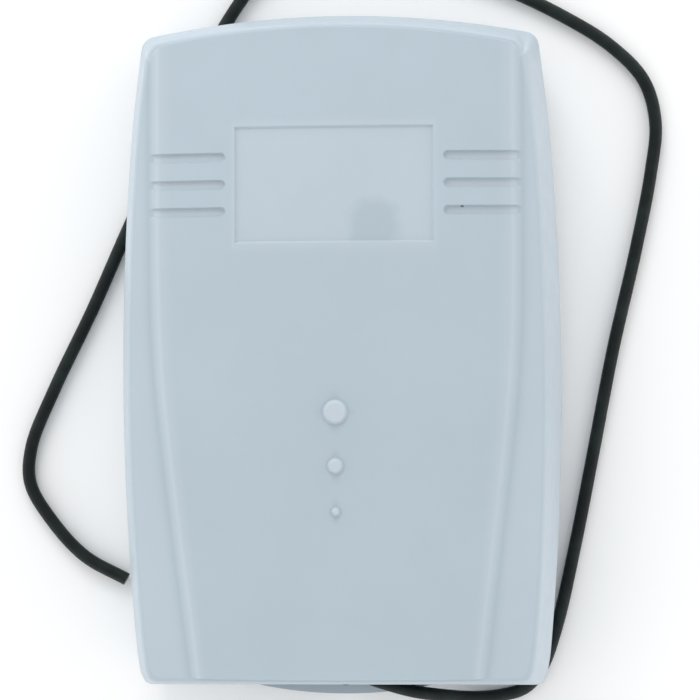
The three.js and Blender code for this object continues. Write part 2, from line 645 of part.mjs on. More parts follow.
// ---------- radio module ----------
function addRadio() {
  const { x, y, width, length, bottom, thickness } = RADIO;
  add('radio_board', block(width, length, thickness, x, y, bottom), LOOK.blue);
  [-1, 1].forEach((end, i) => {
    const rowY = y + end * (length / 2 - 3);
    const pins = [-2, -1, 0, 1, 2].map((pin) => (
      block(0.64, 0.64, bottom - BOARD_TOP, x + pin * PIN_PITCH, rowY, BOARD_TOP)));
    add(`radio_header_${i + 1}`, join(block(12.7, 2.4, 2.2, x, rowY, BOARD_TOP + 0.6), ...pins), LOOK.black);
  });
  const top = bottom + thickness;
  add('radio_can', block(9, 11, 3, x, y, top), LOOK.aluminium);
  const coilProfile = [[0, 0], [2.2, 0], [2.2, 3.8], [1.5, 3.8], [1.5, 5], [0, 5]];
  add('radio_coil', turned(coilProfile, x - 3, y + 11, top, 16), LOOK.copper);
}
addRadio();

// ---------- the lead ----------
// The grommet grips the lead in the wall of the cable bay and tapers off along it.
function makeGrommet() {
  const start = BAY.backY + BAY.wall + 1.1;
  const profile = [[0, 0], [3.3, 0], [3.3, 0.95], [2.1, 0.95], [2.1, 3.45], [3.3, 3.45], [3.3, 4.4],
    [2.6, 4.4], [1.75, 7.3], [0, 7.3]];
  const points = profile.map(([radius, along]) => new THREE.Vector2(radius, -along));
  return solid(new THREE.LatheGeometry(points, 20).translate(LEAD.exitX, start, LEAD.exitZ));
}
add('lead_grommet', makeGrommet(), LOOK.black);

const TAIL_ROUTE = [
  [LEAD.exitX, -48.3, LEAD.exitZ], [LEAD.exitX, -47.4, LEAD.exitZ], [-0.6, -46.7, 10], [2, -46.6, 12.2],
  [6, -45.6, 13.6], [10.6, -43.8, 14.2], [15, -41.9, 14.5], [18.6, -39.7, 14.8], [20, -37.2, 15],
];
add('lead_tail', tube(TAIL_ROUTE, LEAD.radius, 22), LOOK.black);

// The free lead bends out of the bay over the lug, drops to the table, passes under the lower right
// corner, goes up the right side and round the arched end, passes under the upper left corner and
// ends beside the left wall.
const LEAD_ROUTE = [
  [LEAD.exitX, -56.3, LEAD.exitZ], [-1.4, -58.6, 8.7], [0.6, -63, 8.6], [4.4, -66, 8.3], [9, -67.7, 8.1],
  [14, -69.1, 7.5], [20.5, -70.4, 4.6], [26.5, -71.1, LYING + 0.7], [32, -70.7, LYING], [36.6, -69.2, LYING],
  [39.9, -65.4, LYING], [43.2, -56.4, LYING], [46.8, -41, LYING], [50.9, -20.7, LYING], [55, 0, LYING],
  [59.7, 20, LYING], [62.9, 36, LYING], [63.9, 46, LYING], [61.6, 54.6, LYING], [54.9, 61.8, LYING],
  [44.7, 68.3, LYING], [33, 74, LYING], [20, 78.6, LYING], [5, 81.4, LYING], [-8, 80.6, LYING],
  [-17, 76.4, LYING], [-23.4, 68.4, LYING], [-32, 51.8, LYING], [-44.2, 26.2, LYING], [-52.1, 8.7, LYING],
  [-60.2, -7.8, LYING], [-65, -19.6, LYING], [-65.3, -27, LYING], [-61, -34.6, LYING], [-54, -42.2, LYING],
  [-45.3, -47, LYING],
];
add('aerial_lead', tube(LEAD_ROUTE, LEAD.radius, LEAD.steps), LOOK.black);

export default receiver;
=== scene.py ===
import json
import math

import bmesh
import bpy
from mathutils import Matrix, Vector


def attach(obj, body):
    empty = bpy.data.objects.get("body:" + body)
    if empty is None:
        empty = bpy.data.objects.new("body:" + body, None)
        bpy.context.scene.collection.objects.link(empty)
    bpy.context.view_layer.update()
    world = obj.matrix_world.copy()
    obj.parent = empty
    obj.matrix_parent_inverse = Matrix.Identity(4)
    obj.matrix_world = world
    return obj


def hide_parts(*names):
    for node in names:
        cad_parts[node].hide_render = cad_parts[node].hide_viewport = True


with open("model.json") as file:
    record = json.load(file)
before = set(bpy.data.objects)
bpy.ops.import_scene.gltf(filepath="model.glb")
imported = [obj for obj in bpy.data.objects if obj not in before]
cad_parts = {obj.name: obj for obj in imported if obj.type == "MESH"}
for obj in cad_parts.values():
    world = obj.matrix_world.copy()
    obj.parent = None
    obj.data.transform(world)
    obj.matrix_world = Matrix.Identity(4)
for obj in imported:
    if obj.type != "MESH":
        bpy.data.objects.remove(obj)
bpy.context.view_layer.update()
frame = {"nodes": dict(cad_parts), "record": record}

nodes = frame["nodes"]
scene = bpy.context.scene

# Sizes below are in millimetres and are turned into metres where a mesh is made.
MM = 0.001

# ---------- the case's driving sizes ----------
CASE_SHIFT_Y = 1.45
HALF_WIDTH, WIDE_AT, SIDE_RADIUS = 44, -6, 586
TOP, TOP_RADIUS, BOTTOM, CORNER = 67, 190, -67, 2.4
CREST, ACROSS_RADIUS, ALONG_RADIUS = 34, 230, 900
STEP, STEP_WIDTH = 0.9, 1.6
INSET_SIDE, INSET_TOP, INSET_BOTTOM = 3.6, 4.2, 2.8
PANEL_TOP_HALF, PANEL_TAPER, PANEL_TAPER_FROM, PANEL_TURN_LENGTH = 34.2, 0.12, -1.5, 7
LABEL_HALF_WIDTH, LABEL_HALF_HEIGHT, LABEL_Y, LABEL_DEPTH = 19, 11.1, 31.7, 0.35
VENT_INNER, VENT_HALF, VENT_PITCH, VENT_Y, VENT_DEPTH = 21, 0.85, 5.25, 31.8, 0.7
VENT_ROWS = [VENT_Y + step * VENT_PITCH for step in (-1, 0, 1)]
BUMPS = [(-11.9, 2.3), (-22.2, 1.45), (-31, 0.8)]
BUMP_HEIGHT = 0.62
# How much lighter the side walls are painted: painted light.
WALL_PAINTED_LIGHT = 0.08
RIM, WALL, FACE_THICKNESS, TONGUE_ROOM, EDGE_ROUND = 12.3, 2.2, 3.1, 15.2, 0.9
COVER_SCREWS = [(-33.5, 56), (33.5, 56), (-33.5, -58), (33.5, -58)]
BOSS_FOOT = 12.4

LEAD_DIAMETER = 2.6
TAIL_DIAMETER = LEAD_DIAMETER - 0.05
LYING = 1.45
STRAND_RADIUS, STRAND_STAND_OUT = 0.16, 0.03


# ---------- camera ----------
CAMERA_PLACE, CAMERA_TARGET = (25.8, -0.3, 450), (1.76, 1.45, 12)
CAMERA_ROLL, SENSOR_WIDTH, LENS = -0.0066, 36, 112.42


def make_camera():
    """A long lens nearly straight above, a little to the right."""
    place = Vector(CAMERA_PLACE) * MM
    target = Vector(CAMERA_TARGET) * MM
    ahead = (target - place).normalized()
    right = ahead.cross(Vector((0, 1, 0))).normalized()
    up = right.cross(ahead)
    rolled_right = math.cos(CAMERA_ROLL) * right + math.sin(CAMERA_ROLL) * up
    rolled_up = math.cos(CAMERA_ROLL) * up - math.sin(CAMERA_ROLL) * right
    data = bpy.data.cameras.new("camera")
    data.sensor_width = SENSOR_WIDTH
    data.lens = LENS
    data.clip_start = 0.01
    data.clip_end = 10
    camera = bpy.data.objects.new("camera", data)
    turn = Matrix((rolled_right, rolled_up, -ahead)).transposed().to_4x4()
    camera.matrix_world = Matrix.Translation(place) @ turn
    scene.collection.objects.link(camera)
    scene.camera = camera


make_camera()


# ---------- materials ----------
class Shader:
    """A new node material with a few short ways to add nodes."""

    def __init__(self, name, **inputs):
        self.material = bpy.data.materials.new(name)
        self.material.use_nodes = True
        self.tree = self.material.node_tree
        self.surface = self.tree.nodes["Principled BSDF"]
        for socket, value in inputs.items():
            self.surface.inputs[socket.replace("_", " ")].default_value = value

    def node(self, kind, settings=None, **inputs):
        made = self.tree.nodes.new("ShaderNode" + kind)
        for key, value in (settings or {}).items():
            setattr(made, key, value)
        for socket, value in inputs.items():
            self.feed(made.inputs[socket.replace("_", " ")], value)
        return made

    def feed(self, socket, value):
        if isinstance(value, bpy.types.NodeSocket):
            self.tree.links.new(value, socket)
        else:
            socket.default_value = value

    def set(self, socket, value):
        self.feed(self.surface.inputs[socket], value)

    def place(self):
        return self.node("TexCoord").outputs["Object"]

    def noise(self, scale, detail=3, roughness=0.55, place=None):
        made = self.node("TexNoise", Scale=scale, Detail=detail, Roughness=roughness)
        self.feed(made.inputs["Vector"], place or self.place())
        return made.outputs["Fac"]

    def math(self, operation, first, second=0.0, third=0.0):
        made = self.node("Math", {"operation": operation})
        for socket, value in zip(made.inputs, (first, second, third)):
            self.feed(socket, value)
        return made.outputs[0]

    def span(self, value, low, high, to_low=0.0, to_high=1.0):
        made = self.node("MapRange", {"interpolation_type": "SMOOTHSTEP"}, Value=value)
        for socket, limit in zip(("From Min", "From Max", "To Min", "To Max"), (low, high, to_low, to_high)):
            self.feed(made.inputs[socket], limit)
        return made.outputs["Result"]

    def from_middle(self, value, middle, reach):
        """How far value is from middle, in reaches: value is in metres, middle and reach in millimetres."""
        return self.math("MULTIPLY_ADD", value, 1 / (MM * reach), -middle / reach)

    def blend(self, share, first, second):
        made = self.node("Mix", {"data_type": "RGBA"})
        for name, value in (("Factor_Float", share), ("A_Color", first), ("B_Color", second)):
            socket = next(s for s in made.inputs if s.identifier == name)
            self.feed(socket, value)
        return next(s for s in made.outputs if s.identifier == "Result_Color")

    def axis(self, letter, place=None):
        made = self.node("SeparateXYZ")
        self.feed(made.inputs[0], place or self.place())
        return made.outputs[letter]

    def bump(self, height, strength, distance):
        made = self.node("Bump", Strength=strength, Distance=distance, Height=height)
        self.set("Normal", made.outputs["Normal"])


def rgba(colour):
    return (*colour, 1.0)


def tinted(colour, share):
    return rgba([min(1.0, c * share) for c in colour])


def speckled(shader, colour, spread, scale):
    """The colour wanders a little either side of its mean."""
    fine = shader.noise(scale, 4)
    return shader.blend(shader.span(fine, 0.3, 0.7), tinted(colour, 1 - spread), tinted(colour, 1 + spread))


def moulded(name, colour, roughness=0.45, grain=5000, depth=0.00002, spread=0.03):
    """Moulded plastic with a fine spark-eroded grain."""
    shader = Shader(name)
    shader.set("Base Color", speckled(shader, colour, spread, 60))
    uneven = shader.noise(400, 2)
    shader.set("Roughness", shader.span(uneven, 0.25, 0.75, roughness - 0.06, roughness + 0.06))
    shader.bump(shader.noise(grain, 2), 0.35, depth)
    return shader.material


def metal(name, colour, roughness=0.3, streak=(70, 1200, 1200)):
    """Rolled or drawn metal with fine streaks."""
    shader = Shader(name, Metallic=1.0)
    mapping = shader.node("Mapping", Vector=shader.place())
    mapping.inputs["Scale"].default_value = streak
    streaks = shader.noise(1, 3, place=mapping.outputs[0])
    shader.set("Base Color", shader.blend(streaks, tinted(colour, 0.92), tinted(colour, 1.05)))
    shader.set("Roughness", shader.span(streaks, 0.2, 0.8, roughness - 0.05, roughness + 0.08))
    shader.bump(streaks, 0.06, 0.00001)
    return shader.material


def clear(name, tint, roughness):
    """Clear plastic or glass with a trace of haze."""
    shader = Shader(name, IOR=1.49, Transmission_Weight=1.0)
    haze = shader.noise(120, 3)
    shader.set("Base Color", shader.blend(haze, rgba(tint), tinted(tint, 0.96)))
    shader.set("Roughness", shader.span(haze, 0.3, 0.7, roughness, roughness + 0.05))
    return shader.material


RESISTOR_TAN = (0.55, 0.40, 0.22)
COVER_COLOUR = (0.415, 0.490, 0.548)
PATCH_COLOUR = (0.355, 0.435, 0.487)
PATCH_X, PATCH_Y, PATCH_HALF_WIDTH, PATCH_HALF_HEIGHT = 7.7, 25.6, 5.2, 5.0
SPECK_COLOUR = (0.03, 0.03, 0.035)
SPECK_X, SPECK_Y, SPECK_HALF_WIDTH, SPECK_HALF_HEIGHT = 24.5, 28.7, 0.34, 0.2


def cover_plastic():
    """The cover's pale blue-grey, faintly clouded, with a darker patch in the label, a satin grain, and the
    painted light and shade that its mesh carries.
    """
    shader = Shader("cover_plastic", Specular_IOR_Level=0.42)
    place = shader.place()
    clouds = shader.span(shader.noise(38, 5, 0.6, place), 0.3, 0.7)
    colour = shader.blend(clouds, tinted(COVER_COLOUR, 0.985), tinted(COVER_COLOUR, 1.015))
    flecks = shader.span(shader.noise(1500, 2, 0.5, place), 0.62, 0.75)
    colour = shader.blend(shader.math("MULTIPLY", flecks, 0.12), colour, tinted(COVER_COLOUR, 1.12))
    x = shader.axis("X", place)
    y = shader.axis("Y", place)
    # The patch is squarish with soft, uneven sides.
    patch_x = shader.math("ABSOLUTE", shader.from_middle(x, PATCH_X, PATCH_HALF_WIDTH))
    patch_y = shader.math("ABSOLUTE", shader.from_middle(y, PATCH_Y, PATCH_HALF_HEIGHT))
    wander = shader.math("MULTIPLY", shader.math("SUBTRACT", shader.noise(260, 3, 0.6, place), 0.5), 0.7)
    powers = shader.math("ADD", shader.math("POWER", patch_x, 3.0), shader.math("POWER", patch_y, 3.0))
    far = shader.math("ADD", shader.math("POWER", powers, 0.333), wander)
    label_foot = LABEL_Y - LABEL_HALF_HEIGHT + CASE_SHIFT_Y
    inside_label = shader.span(y, (label_foot - 0.25) * MM, (label_foot + 0.45) * MM)
    patch = shader.math("MULTIPLY", shader.span(far, 0.6, 1.2, 1.0, 0.0), inside_label)
    colour = shader.blend(patch, colour, rgba(PATCH_COLOUR))
    # A speck of dirt sits in one groove.
    speck_x = shader.from_middle(x, SPECK_X, SPECK_HALF_WIDTH)
    speck_y = shader.from_middle(y, SPECK_Y, SPECK_HALF_HEIGHT)
    speck = shader.math("MULTIPLY_ADD", speck_x, speck_x, shader.math("MULTIPLY", speck_y, speck_y))
    colour = shader.blend(shader.span(speck, 0.5, 1.3, 0.8, 0.0), colour, rgba(SPECK_COLOUR))
    # The cover's mesh carries painted light and shade: painted highlights where it is lighter and painted
    # shade where it is darker.
    painted_light = shader.node("Attribute", {"attribute_name": "painted_light"}).outputs["Fac"]
    lighter = shader.math("MAXIMUM", painted_light, 0.0)
    darker = shader.math("MAXIMUM", shader.math("MULTIPLY", painted_light, -1.0), 0.0)
    colour = shader.blend(lighter, colour, rgba((1, 1, 1)))
    colour = shader.blend(darker, colour, rgba((0, 0, 0)))
    shader.set("Base Color", colour)
    shader.set("Roughness", shader.span(shader.noise(300, 3, 0.5, place), 0.3, 0.7, 0.42, 0.52))
    shader.bump(shader.noise(4200, 2, 0.5, place), 0.3, 0.000015)
    return shader.material


def lead_jacket():
    """Extruded black jacket with a faint grey-green bloom."""
    shader = Shader("lead_jacket", Specular_IOR_Level=0.22)
    bloom = shader.span(shader.noise(180, 4), 0.4, 0.7)
    shader.set("Base Color", shader.blend(bloom, rgba((0.005, 0.008, 0.008)), rgba((0.010, 0.018, 0.017))))
    shader.set("Roughness", shader.span(shader.noise(900, 3), 0.3, 0.7, 0.38, 0.52))
    shader.bump(shader.noise(2500, 3), 0.4, 0.00003)
    return shader.material


def solder_mask(name, colour):
    """Green or blue lacquer over fibreglass, with a faint weave under it."""
    shader = Shader(name, Coat_Weight=0.35, Coat_Roughness=0.15)
    weave = shader.node("TexChecker", Scale=2600.0)
    shader.feed(weave.inputs["Vector"], shader.place())
    cloth = shader.math("MULTIPLY", weave.outputs["Fac"], 0.35)
    base = speckled(shader, colour, 0.08, 90)
    shader.set("Base Color", shader.blend(cloth, base, tinted(colour, 1.2)))
    shader.set("Roughness", shader.span(shader.noise(500), 0.3, 0.7, 0.30, 0.42))
    shader.bump(weave.outputs["Fac"], 0.1, 0.00001)
    return shader.material


def wound_copper():
    """Enamelled wire laid in close turns up the bobbin."""
    shader = Shader("wound_copper", Metallic=1.0)
    wire_pitch = 0.22 * MM
    height = shader.math("MULTIPLY", shader.axis("Z"), 2 * math.pi / wire_pitch)
    # The colour runs from dark copper between the turns to bright copper on their crowns: painted shade in
    # the gaps and a painted highlight on the crowns.
    turns = shader.math("MULTIPLY_ADD", shader.math("SINE", height), 0.5, 0.5)
    shader.set("Base Color", shader.blend(turns, rgba((0.30, 0.09, 0.03)), rgba((0.72, 0.30, 0.12))))
    shader.set("Roughness", shader.span(turns, 0, 1, 0.45, 0.25))
    shader.bump(turns, 0.5, 0.00006)
    return shader.material


def banded(name, body, bands, centre_y, length):
    """A glazed body with painted rings at shares of its length, measured from its lower end."""
    shader = Shader(name, Coat_Weight=0.5, Coat_Roughness=0.12)
    low_end = centre_y + CASE_SHIFT_Y - length / 2
    along = shader.from_middle(shader.axis("Y"), low_end, length)
    colour = speckled(shader, body, 0.05, 400)
    for share, width, paint in bands:
        off = shader.math("ABSOLUTE", shader.math("SUBTRACT", along, share))
        on = shader.span(off, width / 2, width / 2 + 0.012, 1.0, 0.0)
        colour = shader.blend(on, colour, rgba(paint))
    shader.set("Base Color", colour)
    shader.set("Roughness", shader.span(shader.noise(700), 0.3, 0.7, 0.3, 0.42))
    return shader.material


MATERIALS = {
    "cover_plastic": cover_plastic(),
    "housing_plastic": moulded("housing_plastic", (0.41, 0.483, 0.54), 0.48),
    "black_plastic": moulded("black_plastic", (0.022, 0.023, 0.025), 0.42),
    "black_rubber": moulded("black_rubber", (0.014, 0.016, 0.016), 0.6),
    "lead_jacket": lead_jacket(),
    "board_green": solder_mask("board_green", (0.012, 0.115, 0.045)),
    "track_green": solder_mask("track_green", (0.035, 0.23, 0.09)),
    "radio_board_blue": solder_mask("radio_board_blue", (0.012, 0.055, 0.22)),
    "terminal_green": moulded("terminal_green", (0.03, 0.26, 0.09), 0.4),
    "switch_red": moulded("switch_red", (0.50, 0.03, 0.02), 0.38),
    "slider_white": moulded("slider_white", (0.80, 0.80, 0.76), 0.4),
    "lamp_red": clear("lamp_red", (0.85, 0.10, 0.07), 0.12),
    "clear_plastic": clear("clear_plastic", (0.93, 0.96, 0.97), 0.03),
    "fuse_glass": clear("fuse_glass", (0.97, 0.98, 0.98), 0.01),
    "bright_steel": metal("bright_steel", (0.62, 0.63, 0.64), 0.28),
    "tin_can": metal("tin_can", (0.60, 0.61, 0.62), 0.36),
    "spring_brass": metal("spring_brass", (0.80, 0.58, 0.26), 0.28),
    "coil_copper": wound_copper(),
    "resistor_tan": moulded("resistor_tan", RESISTOR_TAN, 0.35),
}


# ---------- mesh tools ----------
def object_from(bm, name, material, sharp_over=35):
    """A new object in metres from a mesh in millimetres, smooth where its faces meet gently."""
    bmesh.ops.recalc_face_normals(bm, faces=bm.faces)
    limit = math.radians(sharp_over)
    for face in bm.faces:
        face.smooth = True
    for edge in bm.edges:
        edge.smooth = len(edge.link_faces) == 2 and edge.calc_face_angle(0) < limit
    bmesh.ops.scale(bm, vec=(MM, MM, MM), verts=bm.verts)
    mesh = bpy.data.meshes.new(name)
    bm.to_mesh(mesh)
    bm.free()
    made = bpy.data.objects.new(name, mesh)
    made.data.materials.append(material)
    scene.collection.objects.link(made)
    return made


def quads_between(bm, first, second):
    """Joins two rings with the same number of points by a belt of faces."""
    count = len(first)
    for i in range(count):
        j = (i + 1) % count
        bm.faces.new((first[i], first[j], second[j], second[i]))


def skin(bm, rings, capped=True):
    """Joins rings in a row by belts of faces, and closes both ends where they are capped."""
    for low, high in zip(rings, rings[1:]):
        quads_between(bm, low, high)
    if capped:
        bm.faces.new(rings[0])
        bm.faces.new(rings[-1])


def round_places(radius, count):
    """Pairs of places in even steps round a circle."""
    angles = [2 * math.pi * k / count for k in range(count)]
    return [(radius * math.cos(angle), radius * math.sin(angle)) for angle in angles]


def finish_piece(piece, body, slot, *replaced):
    """Ties a piece to its body and hides the CAD nodes that it stands for. slot is not used."""
    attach(piece, body)
    if replaced:
        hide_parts(*replaced)
    return piece


# ---------- the lead ----------
LEAD_EXIT = (-1.7, -56.3, 8.7)
LEAD_ROUTE = [
    LEAD_EXIT, (-1.4, -58.6, 8.7), (0.6, -63, 8.6), (4.4, -66, 8.3), (9, -67.7, 8.1),
    (14, -69.1, 7.5), (20.5, -70.4, 4.6), (26.5, -71.1, LYING + 0.7), (32, -70.7, LYING),
    (36.6, -69.2, LYING), (39.9, -65.4, LYING), (43.2, -56.4, LYING), (46.8, -41, LYING),
    (50.9, -20.7, LYING), (55, 0, LYING), (59.7, 20, LYING), (62.9, 36, LYING), (63.9, 46, LYING),
    (61.6, 54.6, LYING), (54.9, 61.8, LYING), (44.7, 68.3, LYING), (33, 74, LYING), (20, 78.6, LYING),
    (5, 81.4, LYING), (-8, 80.6, LYING), (-17, 76.4, LYING), (-23.4, 68.4, LYING), (-32, 51.8, LYING),
    (-44.2, 26.2, LYING), (-52.1, 8.7, LYING), (-60.2, -7.8, LYING), (-65, -19.6, LYING),
    (-65.3, -27, LYING), (-61, -34.6, LYING), (-54, -42.2, LYING), (-45.3, -47, LYING),
]
TAIL_ROUTE = [
    (-1.7, -48.3, 8.7), (-1.7, -47.4, 8.7), (-0.6, -46.7, 10), (2, -46.6, 12.2),
    (6, -45.6, 13.6), (10.6, -43.8, 14.2), (15, -41.9, 14.5), (18.6, -39.7, 14.8), (20, -37.2, 15),
]


def in_row(point):
    """A point of the case's own frame, in the row frame and in metres."""
    x, y, z = point
    return Vector((x, y + CASE_SHIFT_Y, z)) * MM


def smooth_path(points, per_span):
    """A centripetal Catmull-Rom curve through points."""
    points = [Vector(p) for p in points]
    ends = [2 * points[0] - points[1], *points, 2 * points[-1] - points[-2]]
    path = []
    for before, start, end, after in zip(ends, ends[1:], ends[2:], ends[3:]):
        first = (start - before).length ** 0.5
        middle = (end - start).length ** 0.5
        last = (after - end).length ** 0.5
        out = ((start - before) / first - (end - before) / (first + middle)) * middle + (end - start)
        into = ((after - end) / last - (after - start) / (middle + last)) * middle + (end - start)
        for k in range(per_span):
            t = k / per_span
            a, b = 2 * t**3 - 3 * t**2 + 1, t**3 - 2 * t**2 + t
            c, d = 3 * t**2 - 2 * t**3, t**3 - t**2
            path.append(a * start + b * out + c * end + d * into)
    return [*path, points[-1]]


def path_of(route, per_span):
    return smooth_path([in_row(p) for p in route], per_span)


def wire(name, slot, routes, radius, per_span=6, roundness=3):
    """Round wires along smooth routes, as one piece."""
    data = bpy.data.curves.new(name, "CURVE")
    data.dimensions = "3D"
    data.bevel_depth = radius * MM
    data.bevel_resolution = roundness
    data.use_fill_caps = True
    for route in routes:
        path = path_of(route, per_span)
        spline = data.splines.new("POLY")
        spline.points.add(len(path) - 1)
        for point, place in zip(spline.points, path):
            point.co = (*place, 1)
        spline.use_smooth = True
    made = bpy.data.objects.new(name, data)
    made.data.materials.append(MATERIALS[slot])
    scene.collection.objects.link(made)
    return made


def strand_ends(name, path, wire_radius, stand_out):
    """The cut wires that just show in the lead's bare end: one in the middle and six round it."""
    bm = bmesh.new()
    end = path[-1] / MM
    along = (path[-1] - path[-2]).normalized()
    side = along.cross(Vector((0, 0, 1))).normalized()
    up = side.cross(along)
    sunk = 0.4
    for x, y in [(0, 0), *round_places(2.05 * wire_radius, 6)]:
        rings = []
        for depth, share in ((-sunk, 1.0), (stand_out * 0.7, 1.0), (stand_out, 0.6)):
            centre = end + x * side + y * up + depth * along
            turn = round_places(share * wire_radius, 12)
            rings.append([bm.verts.new(centre + a * side + b * up) for a, b in turn])
        skin(bm, rings)
    return object_from(bm, name, MATERIALS["coil_copper"])


LEAD_PER_SPAN, LEAD_ROUNDNESS = 8, 7
lead = wire("lead", "lead_jacket", [LEAD_ROUTE], LEAD_DIAMETER / 2, LEAD_PER_SPAN, LEAD_ROUNDNESS)
finish_piece(lead, "housing", "lead_jacket", "aerial_lead")
lead_path = path_of(LEAD_ROUTE, LEAD_PER_SPAN)
strands = strand_ends("lead_strands", lead_path, STRAND_RADIUS, STRAND_STAND_OUT)
finish_piece(strands, "housing", "coil_copper")
tail = wire("lead_inner_end", "lead_jacket", [TAIL_ROUTE], TAIL_DIAMETER / 2, LEAD_PER_SPAN, LEAD_ROUNDNESS)
finish_piece(tail, "housing", "lead_jacket", "lead_tail")


# ---------- front cover ----------
def side_x(y):
    return HALF_WIDTH - (y - WIDE_AT) ** 2 / (2 * SIDE_RADIUS)


def top_y(x):
    return TOP - x**2 / (2 * TOP_RADIUS)


def crown(x, y):
    return CREST - x**2 / (2 * ACROSS_RADIUS) - y**2 / (2 * ALONG_RADIUS)


def panel_half(y):
    below = PANEL_TURN_LENGTH * math.log(1 + math.exp((PANEL_TAPER_FROM - y) / PANEL_TURN_LENGTH))
    return PANEL_TOP_HALF - PANEL_TAPER * below


def ease(value, low, high):
    """0 up to low, 1 from high, and a soft rise between them."""
    t = min(1.0, max(0.0, (value - low) / (high - low)))
    return t * t * (3 - 2 * t)


def face_height(x, y):
    """The face with its panel step, label recess, grooves and bumps, all softly rounded."""
    across = abs(x)
    ridge = panel_half(y)
    height = crown(x, y) - STEP * ease(across, ridge - 0.35, ridge + STEP_WIDTH + 0.35)
    label_in = min(LABEL_HALF_WIDTH - across, LABEL_HALF_HEIGHT - abs(y - LABEL_Y))
    height -= LABEL_DEPTH * ease(label_in, -0.12, 0.22)
    for row in VENT_ROWS:
        if abs(y - row) < 2:
            centre_x = max(across, VENT_INNER + VENT_HALF)
            off = math.hypot(across - centre_x, y - row)
            groove = ease(VENT_HALF - off, -0.1, 0.2)
            open_end = ease(across, ridge - 1, ridge + 1.2)
            floor = crown(x, y) - VENT_DEPTH + (VENT_DEPTH - STEP) * open_end
            height += groove * min(0, floor - height)
    for row, radius in BUMPS:
        off = math.hypot(x, y - row)
        if off < radius + 0.3:
            height += BUMP_HEIGHT * ease(radius + 0.12 - off, 0, 0.42 + 0.1 * radius)
    return height


def near(value, place, width):
    """1 at a place, and next to nothing two widths from it."""
    return math.exp(-(((value - place) / width) ** 2))


def painted_face_light(x, y):
    """How much lighter or darker the face is painted: painted highlights on its ridges, bump tops, side
    strips, label rim and recess floors, and painted shade at the feet of its steps and bumps and along its
    recess edges.
    """
    across = abs(x)
    ridge = panel_half(y)
    # Painted highlight along the panel's ridge, painted shade at the foot of the step, and the side strips
    # painted lighter.
    painted_light = 0.075 * near(across, ridge - 0.1, 0.65) - 0.05 * near(across, ridge + STEP_WIDTH + 0.2, 0.7)
    painted_light += 0.05 * ease(across, ridge + STEP_WIDTH, ridge + STEP_WIDTH + 2.5)
    label_in = min(LABEL_HALF_WIDTH - across, LABEL_HALF_HEIGHT - abs(y - LABEL_Y))
    # The label's floor and the rim round it are painted lighter, with a painted shade line just inside its
    # edge.
    painted_light += 0.05 * ease(label_in, -0.1, 0.3) + 0.05 * near(label_in, -0.4, 0.35)
    painted_light -= 0.07 * near(label_in, 0.05, 0.18)
    # Groove floors are painted lighter and their edges darker: painted light and painted shade.
    for row in VENT_ROWS:
        if abs(y - row) < 2 and across < ridge + 1:
            off = math.hypot(across - max(across, VENT_INNER + VENT_HALF), y - row)
            painted_light += 0.14 * ease(VENT_HALF - off, -0.1, 0.2) - 0.14 * near(off, VENT_HALF - 0.03, 0.16)
    # Bump tops are painted lighter and their feet darker: painted highlight and painted shade.
    for row, radius in BUMPS:
        off = math.hypot(x, y - row)
        painted_light += 0.13 * ease(radius - off, 0.05, 0.5) - 0.10 * near(off, radius + 0.2, 0.25)
    return painted_light


def spread(start, end, count):
    """count places after start, up to and with end."""
    return [start + (end - start) * (k + 1) / count for k in range(count)]


def half_columns(y, edge):
    """Places across half the face: close together where the face has detail, and following its step."""
    ridge = panel_half(y)
    foot = min(ridge + STEP_WIDTH + 0.4, edge - 0.4)
    columns = spread(0, 2.7, 22)
    columns += spread(2.7, LABEL_HALF_WIDTH - 0.4, 10)
    columns += spread(LABEL_HALF_WIDTH - 0.4, LABEL_HALF_WIDTH + 0.3, 8)
    columns += spread(LABEL_HALF_WIDTH + 0.3, VENT_INNER - 0.3, 3)
    columns += spread(VENT_INNER - 0.3, VENT_INNER + 1.2, 11)
    columns += spread(VENT_INNER + 1.2, ridge - 0.6, 5)
    columns += spread(ridge - 0.6, foot, 13)
    columns += spread(foot, edge, 13)
    return columns


def row_levels(low, high):
    """Places along the face from its straight end to its arched end."""
    fine = []
    for row, radius in reversed(BUMPS):
        fine.append((row - radius - 0.3, row + radius + 0.3, max(8, round((2 * radius + 0.6) / 0.125))))
    fine.append((LABEL_Y - LABEL_HALF_HEIGHT - 0.3, LABEL_Y - LABEL_HALF_HEIGHT + 0.4, 8))
    for row in VENT_ROWS:
        fine.append((row - VENT_HALF - 0.25, row + VENT_HALF + 0.25, 15))
    fine.append((LABEL_Y + LABEL_HALF_HEIGHT - 0.4, LABEL_Y + LABEL_HALF_HEIGHT + 0.3, 8))
    levels = [low, *spread(low, low + CORNER, 8)]
    levels += spread(low + CORNER, fine[0][0], 17)
    for start, end, count in fine:
        gap = start - levels[-1]
        if gap > 0.05:
            levels += spread(levels[-1], start, max(1, round(gap / 1.8)))
        levels += spread(start, end, count)
    levels += spread(levels[-1], high - CORNER, 9)
    levels += spread(high - CORNER, high, 8)
    return levels


